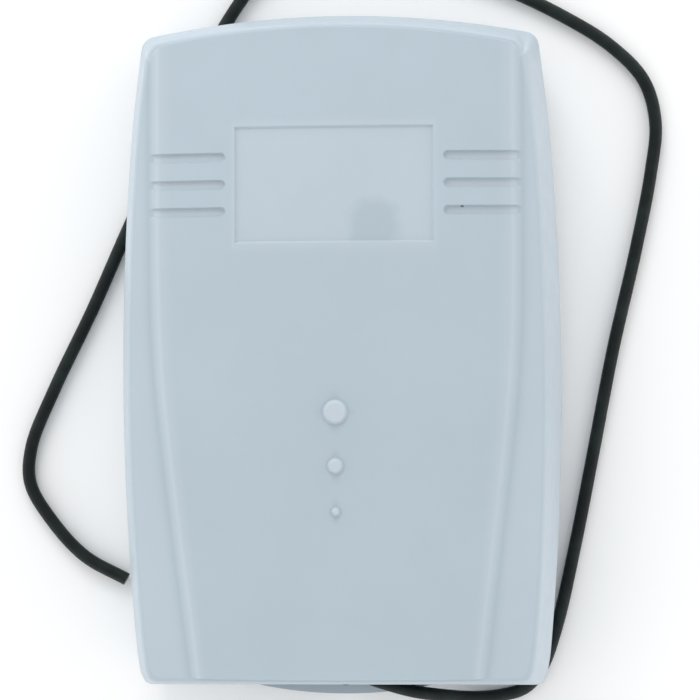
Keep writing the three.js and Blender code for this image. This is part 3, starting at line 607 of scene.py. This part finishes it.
def cover_net(share, extra):
    """Rows of flat places over the outline moved in by a share of the walls' lean, and by extra."""
    side, top, bottom = (share * inset + extra for inset in (INSET_SIDE, INSET_TOP, INSET_BOTTOM))
    low = BOTTOM + bottom
    high_x = side_x(top_y(side_x(TOP))) - side
    high = top_y(high_x) - top

    def corner_drop(x, edge):
        over = min(1.0, max(0.0, (x - edge + CORNER) / CORNER))
        return CORNER * (1 - math.sqrt(max(0.0, 1 - over**2)))

    straight_to = LABEL_Y + LABEL_HALF_HEIGHT + 2
    straight_from = low + CORNER + 4
    rows = []
    for level in row_levels(low, high):
        half = half_columns(level, side_x(level) - side)
        row = []
        for x in [-x for x in reversed(half)] + [0] + half:
            y = level
            if level > straight_to:
                limit = top_y(x) - top - corner_drop(abs(x), high_x)
                y = straight_to + (level - straight_to) * (limit - straight_to) / (high - straight_to)
            elif level < straight_from:
                limit = low + corner_drop(abs(x), side_x(low) - side)
                y = straight_from - (straight_from - level) * (straight_from - limit) / (straight_from - low)
            row.append((x, y))
        rows.append(row)
    return rows


def rim_of(rows):
    """The places round the edge of a net, in order."""
    right = [row[-1] for row in rows[1:-1]]
    left = [row[0] for row in reversed(rows[1:-1])]
    return [*rows[0], *right, *reversed(rows[-1]), *left]


def make_cover():
    bm = bmesh.new()
    # Each point of the cover's mesh carries its painted light and shade, read by the cover's material.
    painted_light = bm.verts.layers.float.new("painted_light")
    face = cover_net(1, EDGE_ROUND)

    def ring_of(places):
        return [bm.verts.new((x, y + CASE_SHIFT_Y, z)) for x, y, z in places]

    grid = [ring_of([(x, y, face_height(x, y)) for x, y in row]) for row in face]
    for made_row, row in zip(grid, face):
        for vertex, (x, y) in zip(made_row, row):
            vertex[painted_light] = painted_face_light(x, y)
    for low, high in zip(grid, grid[1:]):
        for i in range(len(low) - 1):
            bm.faces.new((low[i], low[i + 1], high[i + 1], high[i]))
    previous = rim_of(grid)

    # The side walls are painted lighter and the top and bottom walls darker: painted light and painted shade,
    # eased in over the rounded edge.
    def painted_wall_light(vertex):
        y = vertex.co.y - CASE_SHIFT_Y
        on_side = ease(abs(vertex.co.x), side_x(y) - 5, side_x(y) - 3) * ease(TOP - y, 4, 12)
        return WALL_PAINTED_LIGHT * on_side - 0.03 * (1 - on_side)

    def belt(places):
        nonlocal previous
        made = ring_of(places)
        quads_between(bm, previous, made)
        previous = made

    # The rounded edge is a curve from the face over the corner point to the wall.
    start = [Vector((x, y, crown(x, y) - STEP)) for x, y in rim_of(face)]
    corner = [Vector((x, y, crown(x, y) - STEP)) for x, y in rim_of(cover_net(1, 0))]
    foot = [Vector((x, y, RIM)) for x, y in rim_of(cover_net(0, 0))]
    wall = [c.lerp(f, EDGE_ROUND / (c - f).length) for c, f in zip(corner, foot)]
    for k in range(1, 9):
        t = k / 8
        belt([(1 - t) ** 2 * a + 2 * t * (1 - t) * b + t**2 * c for a, b, c in zip(start, corner, wall)])
        for vertex in previous:
            vertex[painted_light] = painted_wall_light(vertex) * t
    for share in (0.2, 0.4, 0.6, 0.8, 0.94):
        belt([w.lerp(f, share) for w, f in zip(wall, foot)])
        for vertex in previous:
            vertex[painted_light] = painted_wall_light(vertex)
    rounding = 0.25
    up = Vector((0, 0, rounding))
    near_foot = [Vector((x, y, RIM)) for x, y in rim_of(cover_net(0, rounding))]
    belt([f + up for f in foot])
    belt([f + 0.3 * up + 0.3 * (n - f) for f, n in zip(foot, near_foot)])
    belt(near_foot)

    belt([(x, y, RIM) for x, y in rim_of(cover_net(0, WALL))])
    belt([(x, y, TONGUE_ROOM) for x, y in rim_of(cover_net(0.1, WALL))])
    roof = rim_of(cover_net(1, WALL))
    for share in (1.0, 0.9, 0.7, 0.45, 0.2, 0.05):
        belt([(x * share, y * share, crown(x * share, y * share) - FACE_THICKNESS) for x, y in roof])
    bm.faces.new(previous)

    # Each cover screw has a hollow boss, rooted in the roof.
    for x, y in COVER_SCREWS:
        root = crown(x, y) - FACE_THICKNESS + 0.3
        profile = [(1.65, root), (1.65, BOSS_FOOT + 0.1), (1.9, BOSS_FOOT), (2.75, BOSS_FOOT),
                   (3, BOSS_FOOT + 0.25), (3.1, root)]
        rings = []
        for radius, level in profile:
            rings.append(ring_of([(x + a, y + b, level) for a, b in round_places(radius, 36)]))
        skin(bm, rings, capped=False)
    return object_from(bm, "cover_shell", MATERIALS["cover_plastic"], 50)


finish_piece(make_cover(), "cover", "cover_plastic", "front_cover")


# ---------- inside the case ----------
BOARD_BOTTOM, BOARD_TOP = 9.4, 11
RADIO_TOP = 15.4
PIN_PITCH = 2.54

# Where each part stands on the board.
LARGE_CAPACITOR, SMALL_CAPACITOR = (-24, 15.5), (3, 2)
RELAY, RELAY_COIL = (-21, -15), (-21, -16.5)
FUSE = (-5, -16)
RESISTORS, DIODE, BRIDGE, CRYSTAL = [(8, -8), (8, -22)], (-10.2, -15), (-24, 3), (14, 22)
REGULATOR, REGULATOR_EYE = (-10, 8), (-10, 16)
LEARN_SWITCH, LEARN_LAMP, DIP_SWITCH, TERMINALS = (2, 34), (10, 34), (-18, 34), (-14, -39.2)
MICROCONTROLLER = (13, 12)
RADIO_BOARD, RADIO_COIL = (20, -18), (17, -7)
LEAD_JOINT = (20, -37.2)


def lathe(name, slot, profile, foot, lying=False, closed=False, steps=48, sharp_over=32):
    """Turns (radius, height) pairs round the upright line through foot, or round one along the case."""
    bm = bmesh.new()
    x, y, z = foot
    rings = []
    for radius, height in profile:
        ring = []
        for a, b in round_places(radius, steps):
            up, along = (b, height) if lying else (height, b)
            ring.append(bm.verts.new((x + a, y + along + CASE_SHIFT_Y, z + up)))
        rings.append(ring)
    skin(bm, rings + rings[:1] if closed else rings, not closed)
    return object_from(bm, name, MATERIALS[slot], sharp_over)


def block(bm, middle, size):
    """A square-cut body: middle is the middle of its foot."""
    x, y, low = middle
    width, length, height = size
    corners = [(-1, -1), (1, -1), (1, 1), (-1, 1)]
    rings = [[bm.verts.new((x + a * width / 2, y + b * length / 2 + CASE_SHIFT_Y, z)) for a, b in corners]
             for z in (low, low + height)]
    skin(bm, rings)


def blocks(name, slot, places, edge=0.12):
    """Square-cut bodies with rounded edges, as one piece."""
    bm = bmesh.new()
    for middle, size in places:
        block(bm, middle, size)
    made = object_from(bm, name, MATERIALS[slot])
    round_edges(made, edge)
    return made


def round_edges(made, edge, sharp_over=40):
    """Rounds the edges that turn by more than sharp_over degrees."""
    rounded = made.modifiers.new("rounded_edges", "BEVEL")
    rounded.width = edge * MM
    rounded.segments = 2
    rounded.limit_method = "ANGLE"
    rounded.angle_limit = math.radians(sharp_over)


def inside(made, slot, *replaced, body="housing"):
    """A piece inside the case, which stays with the housing unless another body is named."""
    return finish_piece(made, body, slot, *replaced)


# The printed copper that shows through the board's lacquer, as broken lines along the board.
TRACK_RUNS = [
    [(-24, -5), (-24, -1)], [(-21, -26), (-21, -33)], [(-16, -33), (-16, -26), (-14, -24), (-14, -6)],
    [(-5, -27), (-5, -33), (-11, -33)], [(-5, -5), (-5, 0), (-10, 0)], [(-24, 7), (-24, 10)],
    [(-20, 15.5), (-14, 15.5), (-12.5, 14), (-12.5, 2)], [(3, -2), (3, -6), (6, -8)],
    [(8, -3), (8, 3), (5.4, 5.5), (5.4, 8.4)], [(-14.2, 29), (-14.2, 22), (-6, 18), (2.8, 15.6)],
    [(-16.7, 29), (-16.7, 23), (-8, 19), (0.3, 15.6), (0.3, 15)], [(-19.3, 29), (-19.3, 24), (-9, 20.5)],
    [(2, 30.5), (2, 20), (7.9, 16)], [(10, 31.5), (10, 24), (10.5, 17)], [(13, 19.5), (13, 16)],
    [(16, 19.5), (16, 17), (15.5, 16)], [(20, 8), (20, 2), (17.5, -0.5), (17.5, -2.2)],
    [(22.5, 8), (22.5, -2.2)], [(25, 8), (27, 4), (27, -30), (25, -32.8)], [(-29, 38), (-29, -34)],
    [(29.5, 38), (29.5, -36), (26, -39.5), (-4, -39.5)],
]


def pair(x, y, across, along=0):
    """The two pins either side of a place."""
    return [(x - across, y - along), (x + across, y + along)]


def pin_rows(x, y, numbers, out):
    """Two rows of pins along the case's width, in turn, at a distance either side of y."""
    return [(x + PIN_PITCH * k, y + side) for k in numbers for side in (-out, out)]


PIN_ROWS = [
    *[(-21.5 + 5 * i, TERMINALS[1]) for i in range(4)],
    *pin_rows(*MICROCONTROLLER, range(-4, 5), 4.4),
    *pin_rows(-21.8, DIP_SWITCH[1], range(4), 5.2),
    *pin_rows(*RADIO_BOARD, range(-2, 3), 15),
    *[(REGULATOR[0] + PIN_PITCH * i, 0.6) for i in (-1, 0, 1)],
    *pair(*LARGE_CAPACITOR, 2), *pair(*SMALL_CAPACITOR, 1),
    *pair(*RESISTORS[0], 0, -5), *pair(*RESISTORS[1], 0, -5), *pair(*DIODE, 0, -4.2),
    *pair(*LEARN_LAMP, 1), *pair(LEARN_SWITCH[0], 31, 2.5), *pair(LEARN_SWITCH[0], 37, 2.5),
    *pair(*CRYSTAL, 2.5), *pair(*FUSE, 0, 7.5), *pair(*BRIDGE, 3),
    *pair(RELAY[0], -22, 5), *pair(RELAY[0], -8, 5),
]
FILM, FILM_STEP = 0.04, 0.003


def strips(name, slot, runs, width, surface):
    """Flat strips along broken lines, with mitred turns. Each run stands a hair above the one before."""
    bm = bmesh.new()
    for index, run in enumerate(runs):
        points = [Vector((x, y + CASE_SHIFT_Y, 0)) for x, y in run]
        ways = [(b - a).normalized() for a, b in zip(points, points[1:])]
        closed = (points[0] - points[-1]).length < 0.01
        before = [ways[-1] if closed else ways[0], *ways]
        after = [*ways, ways[0] if closed else ways[-1]]
        top = surface + FILM + FILM_STEP * index
        rings = []
        for point, way_in, way_out in zip(points, before, after):
            middle = (way_in + way_out).normalized()
            across = Vector((-middle.y, middle.x, 0)) * width / 2 / max(0.4, middle.dot(way_out))
            left, right = point - across, point + across
            section = ((left, surface), (right, surface), (right, top), (left, top))
            rings.append([bm.verts.new((place.x, place.y, z)) for place, z in section])
        skin(bm, rings)
    return object_from(bm, name, MATERIALS[slot])


def solder_domes(name, places, surface, way, radius=0.85):
    """A small cone of solder round each pin, on the board's upper side (way 1) or under it (way -1)."""
    bm = bmesh.new()
    profile = ((1, 0), (0.9, 0.16), (0.62, 0.42), (0.42, 0.75), (0.3, 1.0), (0.15, 1.06))
    for x, y in places:
        rings = []
        for share, height in profile:
            level = surface + way * height
            turn = round_places(share * radius, 12)
            rings.append([bm.verts.new((x + a, y + b + CASE_SHIFT_Y, level)) for a, b in turn])
        skin(bm, rings)
    return object_from(bm, name, MATERIALS["tin_can"], 60)


def frame_run(x, y, width, length):
    """The printed frame round a part."""
    a, b = width / 2, length / 2
    return [(x - a, y - b), (x + a, y - b), (x + a, y + b), (x - a, y + b), (x - a, y - b)]


PRINT_RUNS = [
    frame_run(*RELAY, 16.6, 20.1), frame_run(*TERMINALS, 21, 10.6), frame_run(*DIP_SWITCH, 12.8, 10.1),
    frame_run(*LEARN_SWITCH, 7.2, 7.2), frame_run(*MICROCONTROLLER, 25, 10.8), frame_run(*BRIDGE, 9.6, 7.6),
    frame_run(REGULATOR[0], 10.5, 11.2, 16.5), frame_run(*RADIO_BOARD, 15.4, 37.4),
    *[frame_run(x, y, 3.4, 12.4) for x, y in RESISTORS],
    frame_run(*FUSE, 7.4, 21.6), frame_run(*CRYSTAL, 12.4, 6),
    [(2.4, 41), (10, 41)], [(12, 41), (15, 41)],
]
inside(strips("board_tracks", "track_green", TRACK_RUNS, 0.9, BOARD_TOP), "board_green")
inside(strips("board_print", "slider_white", PRINT_RUNS, 0.22, BOARD_TOP + 0.07), "slider_white")
inside(solder_domes("solder_joints", PIN_ROWS, BOARD_BOTTOM, -1), "tin_can")


def capacitor(name, x, y, radius, height):
    """An electrolytic capacitor: a shrunk sleeve round an aluminium can with a scored top."""
    waist = radius * 0.93
    sleeve = [(radius * 0.8, 0.05), (radius - 0.15, 0.02), (radius, 0.25), (radius, 1.1), (waist + 0.1, 1.45),
              (waist, 1.65), (waist + 0.1, 1.9), (radius, 2.25), (radius, height - 0.45),
              (radius - 0.12, height - 0.15), (radius - 0.4, height), (radius - 0.75, height),
              (radius - 0.8, height - 0.1)]
    inside(lathe(name + "_sleeve", "black_plastic", sleeve, (x, y, BOARD_TOP)), "black_plastic", name)
    top = radius - 0.78
    can_top = [(top, height - 0.5), (top, height - 0.14), (top - 0.15, height - 0.06)]
    inside(lathe(name + "_top", "tin_can", can_top, (x, y, BOARD_TOP)), "tin_can", name)
    reach = top - 0.5
    cross = [[(x - reach, y), (x + reach, y)], [(x, y - reach), (x, y + reach)]]
    inside(strips(name + "_score", "bright_steel", cross, 0.16, BOARD_TOP + height - 0.075), "bright_steel")
    marks = []
    mark_pitch = 2.1
    for k in range(int((height - 4) / mark_pitch)):
        for a in (-0.05, 0.05):
            foot = (x - radius * math.cos(a), y + radius * math.sin(a), BOARD_TOP + 3 + mark_pitch * k)
            marks.append((foot, (0.14, 0.5, 1.3)))
    inside(blocks(name + "_stripe", "slider_white", marks, 0.02), "slider_white")


capacitor("large_capacitor", *LARGE_CAPACITOR, 5, 16)
capacitor("small_capacitor", *SMALL_CAPACITOR, 3.15, 11)

# The lamp is a clear red dome on a flange.
dome = [(1.9, 0.02), (1.9, 0.9), (1.8, 1.0), (1.5, 1.02), (1.5, 3.5)]
dome += [(1.5 * math.cos(a), 3.5 + 1.65 * math.sin(a)) for a in [k * math.pi / 18 for k in range(1, 9)]]
dome.append((0.06, 5.15))
inside(lathe("learn_lamp_dome", "lamp_red", dome, (*LEARN_LAMP, BOARD_TOP)), "lamp_red", "learn_lamp")

# The relay's bobbin, its winding and its core.
bobbin = [(4.85, 13.1), (4.85, 13.8), (4.0, 13.9), (4.0, 19.7), (4.85, 19.8), (4.85, 20.45), (2.2, 20.5)]
inside(lathe("relay_bobbin", "black_plastic", bobbin, (*RELAY_COIL, 0)), "black_plastic", "relay_coil")
WINDING_FOOT, TURN_PITCH, TURNS = 13.95, 0.3, 19
winding = [(4.1, WINDING_FOOT)]
for k in range(TURNS):
    level = WINDING_FOOT + k * TURN_PITCH
    winding += [(4.32, level + 0.03), (4.45, level + 0.15), (4.32, level + 0.27)]
winding.append((4.1, WINDING_FOOT + TURNS * TURN_PITCH))
inside(lathe("relay_winding", "coil_copper", winding, (*RELAY_COIL, 0)), "coil_copper", "relay_coil")
core = [(2.15, 20.4), (2.15, 21.1), (2.05, 21.2)]
inside(lathe("relay_core", "bright_steel", core, (*RELAY_COIL, 0)), "bright_steel", "relay_coil")

# The fuse: glass with a fine wire, and two pressed caps with a bead round each.
FUSE_Z, FUSE_CAP_OUT = 15, 7.5
fuse_x, fuse_y = FUSE
glass = [(2.4, -4.9), (2.4, 4.9), (1.9, 4.9), (1.9, -4.9)]
glass_tube = lathe("fuse_glass_tube", "fuse_glass", glass, (*FUSE, FUSE_Z), lying=True, closed=True)
inside(glass_tube, "fuse_glass", "fuse_tube")
fuse_run = [(fuse_x + 0.3 * math.sin(k), fuse_y + y, FUSE_Z + 0.12 * k - 0.3)
            for k, y in enumerate((-4.9, -2.4, 0, 2.4, 4.9))]
inside(wire("fuse_wire", "bright_steel", [fuse_run], 0.09), "bright_steel", "fuse_tube")
cap = [(2.3, 2.48), (2.5, 2.42), (2.6, 2.2), (2.6, -1.5), (2.52, -1.62), (2.52, -1.9), (2.6, -2.02),
       (2.58, -2.45), (2.45, -2.5)]
for index, way in ((1, -1), (2, 1)):
    cap_foot = (fuse_x, fuse_y + way * FUSE_CAP_OUT, FUSE_Z)
    turned_cap = [(radius, way * along) for radius, along in cap]
    shell = lathe(f"fuse_cap_{index}_shell", "bright_steel", turned_cap, cap_foot, lying=True)
    inside(shell, "bright_steel", f"fuse_cap_{index}")


def axial(name, slot, radius, length, x, y, material):
    """A part that lies on two bent wires, with a body that is thicker at its ends."""
    middle = BOARD_TOP + radius + 0.3
    end = length / 2
    waist = radius * 0.86
    half = [(0.45, end), (waist * 0.8, end - 0.1), (waist + 0.08, end - 0.4), (radius, end - 0.85),
            (radius - 0.03, end - 1.35), (waist, end - 1.9)]
    profile = [(r, -along) for r, along in half] + [(r, along) for r, along in reversed(half)]
    made = lathe(name + "_body", slot, profile, (x, y, middle), lying=True)
    made.data.materials[0] = material
    inside(made, slot, name)
    reach = end + 1.7
    legs = []
    for way in (-1, 1):
        legs.append([(x, y + way * (end - 0.2), middle), (x, y + way * (end + 0.9), middle),
                     (x, y + way * (reach - 0.25), middle - 0.2), (x, y + way * reach, middle - 0.8),
                     (x, y + way * reach, BOARD_TOP - 0.1)])
    inside(wire(name + "_legs", "tin_can", legs, 0.33, 4), "tin_can", name)


RED, VIOLET, BROWN = (0.42, 0.02, 0.02), (0.12, 0.03, 0.25), (0.11, 0.035, 0.012)
GOLD, BLACK, SILVER = (0.5, 0.3, 0.06), (0.01, 0.01, 0.01), (0.62, 0.62, 0.6)
DIODE_BLACK = (0.02, 0.02, 0.022)
RESISTOR_LENGTH, DIODE_LENGTH = 6.3, 4.6
for index, place, paints in ((1, RESISTORS[0], (RED, VIOLET, BROWN)), (2, RESISTORS[1], (BROWN, BLACK, RED))):
    rings = [(0.16, 0.07, paints[0]), (0.36, 0.06, paints[1]), (0.5, 0.06, paints[2]), (0.84, 0.07, GOLD)]
    glaze = banded(f"resistor_{index}_glaze", RESISTOR_TAN, rings, place[1], RESISTOR_LENGTH)
    axial(f"resistor_{index}", "resistor_tan", 1.15, RESISTOR_LENGTH, *place, glaze)
diode_glaze = banded("diode_glaze", DIODE_BLACK, [(0.84, 0.12, SILVER)], DIODE[1], DIODE_LENGTH)
axial("flyback_diode", "black_plastic", 1.3, DIODE_LENGTH, *DIODE, diode_glaze)

# The voltage regulator: a moulded body on a tinned tab, with three bent legs.
body_block = ((*REGULATOR, BOARD_TOP + 0.02), (9.9, 8.9, 4.25))
inside(blocks("regulator_body", "black_plastic", [body_block], 0.3), "black_plastic", "voltage_regulator")
regulator_legs = []
for i in (-1, 0, 1):
    x = REGULATOR[0] + PIN_PITCH * i
    regulator_legs.append([(x, 3.8, 12.9), (x, 1.6, 12.9), (x, 0.75, 12.5), (x, 0.6, BOARD_TOP)])
inside(wire("regulator_legs", "tin_can", regulator_legs, 0.36, 4), "tin_can", "voltage_regulator")
tab_block = ((REGULATOR[0], 15.2, BOARD_TOP + 0.02), (9.9, 6.5, 1.25))
inside(blocks("regulator_tab", "tin_can", [tab_block]), "tin_can", "voltage_regulator")
eye_foot = (*REGULATOR_EYE, BOARD_TOP)
eye = lathe("regulator_eye", "bright_steel", [(1.8, 1.29), (2.35, 1.29), (2.35, 1.26), (1.8, 1.26)], eye_foot,
            closed=True)
inside(eye, "bright_steel", "voltage_regulator")
# A thin black disc in the eye stands in for the tab's hole: painted shade where the hole shows dark.
hole_shade = lathe("regulator_hole_shade", "black_plastic", [(1.78, 1.24), (1.78, 1.285)], eye_foot)
inside(hole_shade, "black_plastic", "voltage_regulator")

# The learn switch's round plunger, and the four crimped corners of its plate.
switch_x, switch_y = LEARN_SWITCH
plunger = [(1.6, 12.6), (1.73, 12.7), (1.73, 16.9), (1.6, 17.1), (1.35, 17.2)]
cap_of_plunger = lathe("plunger_cap", "switch_red", plunger, (*LEARN_SWITCH, 0))
inside(cap_of_plunger, "switch_red", "learn_plunger", body="learn_button")
rivets = [((switch_x + a * 2.3, switch_y + b * 2.3, BOARD_TOP + 3.58), (0.75, 0.75, 0.2))
          for a in (-1, 1) for b in (-1, 1)]
inside(blocks("learn_switch_rivets", "tin_can", rivets, 0.09), "tin_can")

# The microcontroller's moulded body, its bent pins and the dimple at its first pin.
chip_x, chip_y = MICROCONTROLLER
chip_block = ((*MICROCONTROLLER, BOARD_TOP + 0.6), (22.8, 6.3, 3.35))
inside(blocks("microcontroller_body", "black_plastic", [chip_block], 0.2), "black_plastic", "microcontroller")
pins = []
for side in (-1, 1):
    for k in range(9):
        pin_x = chip_x + PIN_PITCH * (k - 4)
        pins += [((pin_x, chip_y + side * 3.72, BOARD_TOP + 1.2), (1.1, 0.32, 1.2)),
                 ((pin_x, chip_y + side * 3.72, BOARD_TOP), (0.5, 0.28, 1.3)),
                 ((pin_x, chip_y + side * 3.4, BOARD_TOP + 2.1), (1.1, 0.8, 0.28))]
inside(blocks("microcontroller_pins", "tin_can", pins, 0.05), "tin_can", "microcontroller")
dimple_foot = (chip_x - 10, chip_y, BOARD_TOP)
dimple = lathe("microcontroller_notch", "resistor_tan", [(0.7, 3.955), (0.7, 3.965)], dimple_foot)
inside(dimple, "resistor_tan")

# The small parts of the radio board: chips, the aerial coil on its former, and the lead's joint.
radio_x, radio_y = RADIO_BOARD
SMALL_PARTS = [*[(2.4 * k, -8) for k in range(-2, 3)], (-5.2, 2), (5.2, 2), (5.2, 7.5), (2.6, 8)]
small_parts = [((radio_x + a, radio_y + b, RADIO_TOP), (1.25, 2.0, 0.55)) for a, b in SMALL_PARTS]
inside(blocks("radio_small_parts", "resistor_tan", small_parts, 0.08), "resistor_tan")
radio_chip = ((radio_x + 3, radio_y + 11, RADIO_TOP), (4, 3.2, 1.1))
inside(blocks("radio_chip", "black_plastic", [radio_chip], 0.08), "black_plastic")
COIL_RADIUS, COIL_STEPS, COIL_STEP_UP = 1.75, 54, 0.058
turns = [(RADIO_COIL[0] + COIL_RADIUS * math.cos(k * math.pi / 6),
          RADIO_COIL[1] + COIL_RADIUS * math.sin(k * math.pi / 6),
          RADIO_TOP + 0.5 + COIL_STEP_UP * k) for k in range(COIL_STEPS)]
inside(wire("radio_coil_turns", "coil_copper", [turns], 0.32, 2), "coil_copper", "radio_coil")
former = [(1.2, 0.02), (1.2, 4.8), (1.0, 5.0)]
coil_former = lathe("radio_coil_former", "black_plastic", former, (*RADIO_COIL, RADIO_TOP))
inside(coil_former, "black_plastic", "radio_coil")
inside(solder_domes("lead_joint", [LEAD_JOINT], RADIO_TOP - 0.4, 1, 1.1), "tin_can")

# The grommet grips the lead in the housing's wall and tapers off along it in ribs.
GROMMET_START = -48.7
grommet = [(1.35, -0.05), (3.1, 0), (3.3, -0.2), (3.3, -0.8), (3.15, -0.95), (2.1, -1.0), (2.1, -3.4),
           (3.15, -3.45), (3.3, -3.6), (3.3, -4.2), (3.1, -4.4), (2.65, -4.42), (2.5, -4.7)]
grommet += [(2.5 - 0.19 * k, -4.7 - 0.62 * k - (0.18 if k % 2 else 0)) for k in range(1, 5)]
grommet_foot = (LEAD_EXIT[0], GROMMET_START, LEAD_EXIT[2])
grommet_skin = lathe("lead_grommet_skin", "black_rubber", grommet, grommet_foot, lying=True)
inside(grommet_skin, "black_rubber", "lead_grommet")


# ---------- CAD nodes that keep their shape ----------
SLOT_OF = {entry["node"]: entry["material_slot"] for entry in frame["record"]["subparts"]}


def dress(node, edge):
    """Gives a CAD node its material, merges its flat faces and rounds its sharp edges."""
    made = nodes[node]
    made.data.materials.clear()
    made.data.materials.append(MATERIALS[SLOT_OF[node]])
    flat = made.modifiers.new("flat_faces", "DECIMATE")
    flat.decimate_type = "DISSOLVE"
    flat.angle_limit = math.radians(1)
    round_edges(made, edge)
    for polygon in made.data.polygons:
        polygon.use_smooth = True
    made.data.set_sharp_from_angle(angle=math.radians(30))


SMALL = ("dip_slider", "terminal_screw", "terminal_clamp", "fuse_clip", "radio_header", "relay")
SMALL_EDGE, EDGE = 0.06, 0.15
for name in sorted(nodes):
    if not nodes[name].hide_render:
        dress(name, SMALL_EDGE if name.startswith(SMALL) else EDGE)


# ---------- floor, light and world ----------
def make_floor():
    """A wide sheet of white paper at Z 0."""
    bm = bmesh.new()
    reach = 3000
    bm.faces.new([bm.verts.new((reach * a, reach * b, 0)) for a, b in ((-1, -1), (1, -1), (1, 1), (-1, 1))])
    shader = Shader("floor_paper", Roughness=0.9)
    shader.set("Base Color", speckled(shader, (0.95, 0.95, 0.95), 0.004, 12))
    floor = object_from(bm, "floor", shader.material)


def area_light(name, place, size, watts):
    """A round lamp that faces the origin."""
    data = bpy.data.lights.new(name, "AREA")
    data.shape = "DISK"
    data.size = size
    data.energy = watts
    light = bpy.data.objects.new(name, data)
    light.location = place
    light.rotation_euler = Vector(place).to_track_quat("Z", "Y").to_euler()
    scene.collection.objects.link(light)


def make_world():
    """A white tent: dimmer overhead than round the sides."""
    world = bpy.data.worlds.new("studio")
    world.use_nodes = True
    tree = world.node_tree
    background = tree.nodes["Background"]
    place = tree.nodes.new("ShaderNodeTexCoord")
    split = tree.nodes.new("ShaderNodeSeparateXYZ")
    level = tree.nodes.new("ShaderNodeMapRange")
    tree.links.new(place.outputs["Generated"], split.inputs[0])
    tree.links.new(split.outputs["Z"], level.inputs["Value"])
    for socket, value in (("From Min", 0.1), ("From Max", 0.95), ("To Min", 1.85), ("To Max", 0.60)):
        level.inputs[socket].default_value = value
    tree.links.new(level.outputs["Result"], background.inputs["Strength"])
    background.inputs["Color"].default_value = (0.99, 0.995, 1.0, 1)
    scene.world = world


make_floor()
make_world()
area_light("top_light", (-0.2, 0.85, 0.55), 0.5, 3.0)
scene.view_settings.view_transform = "Standard"
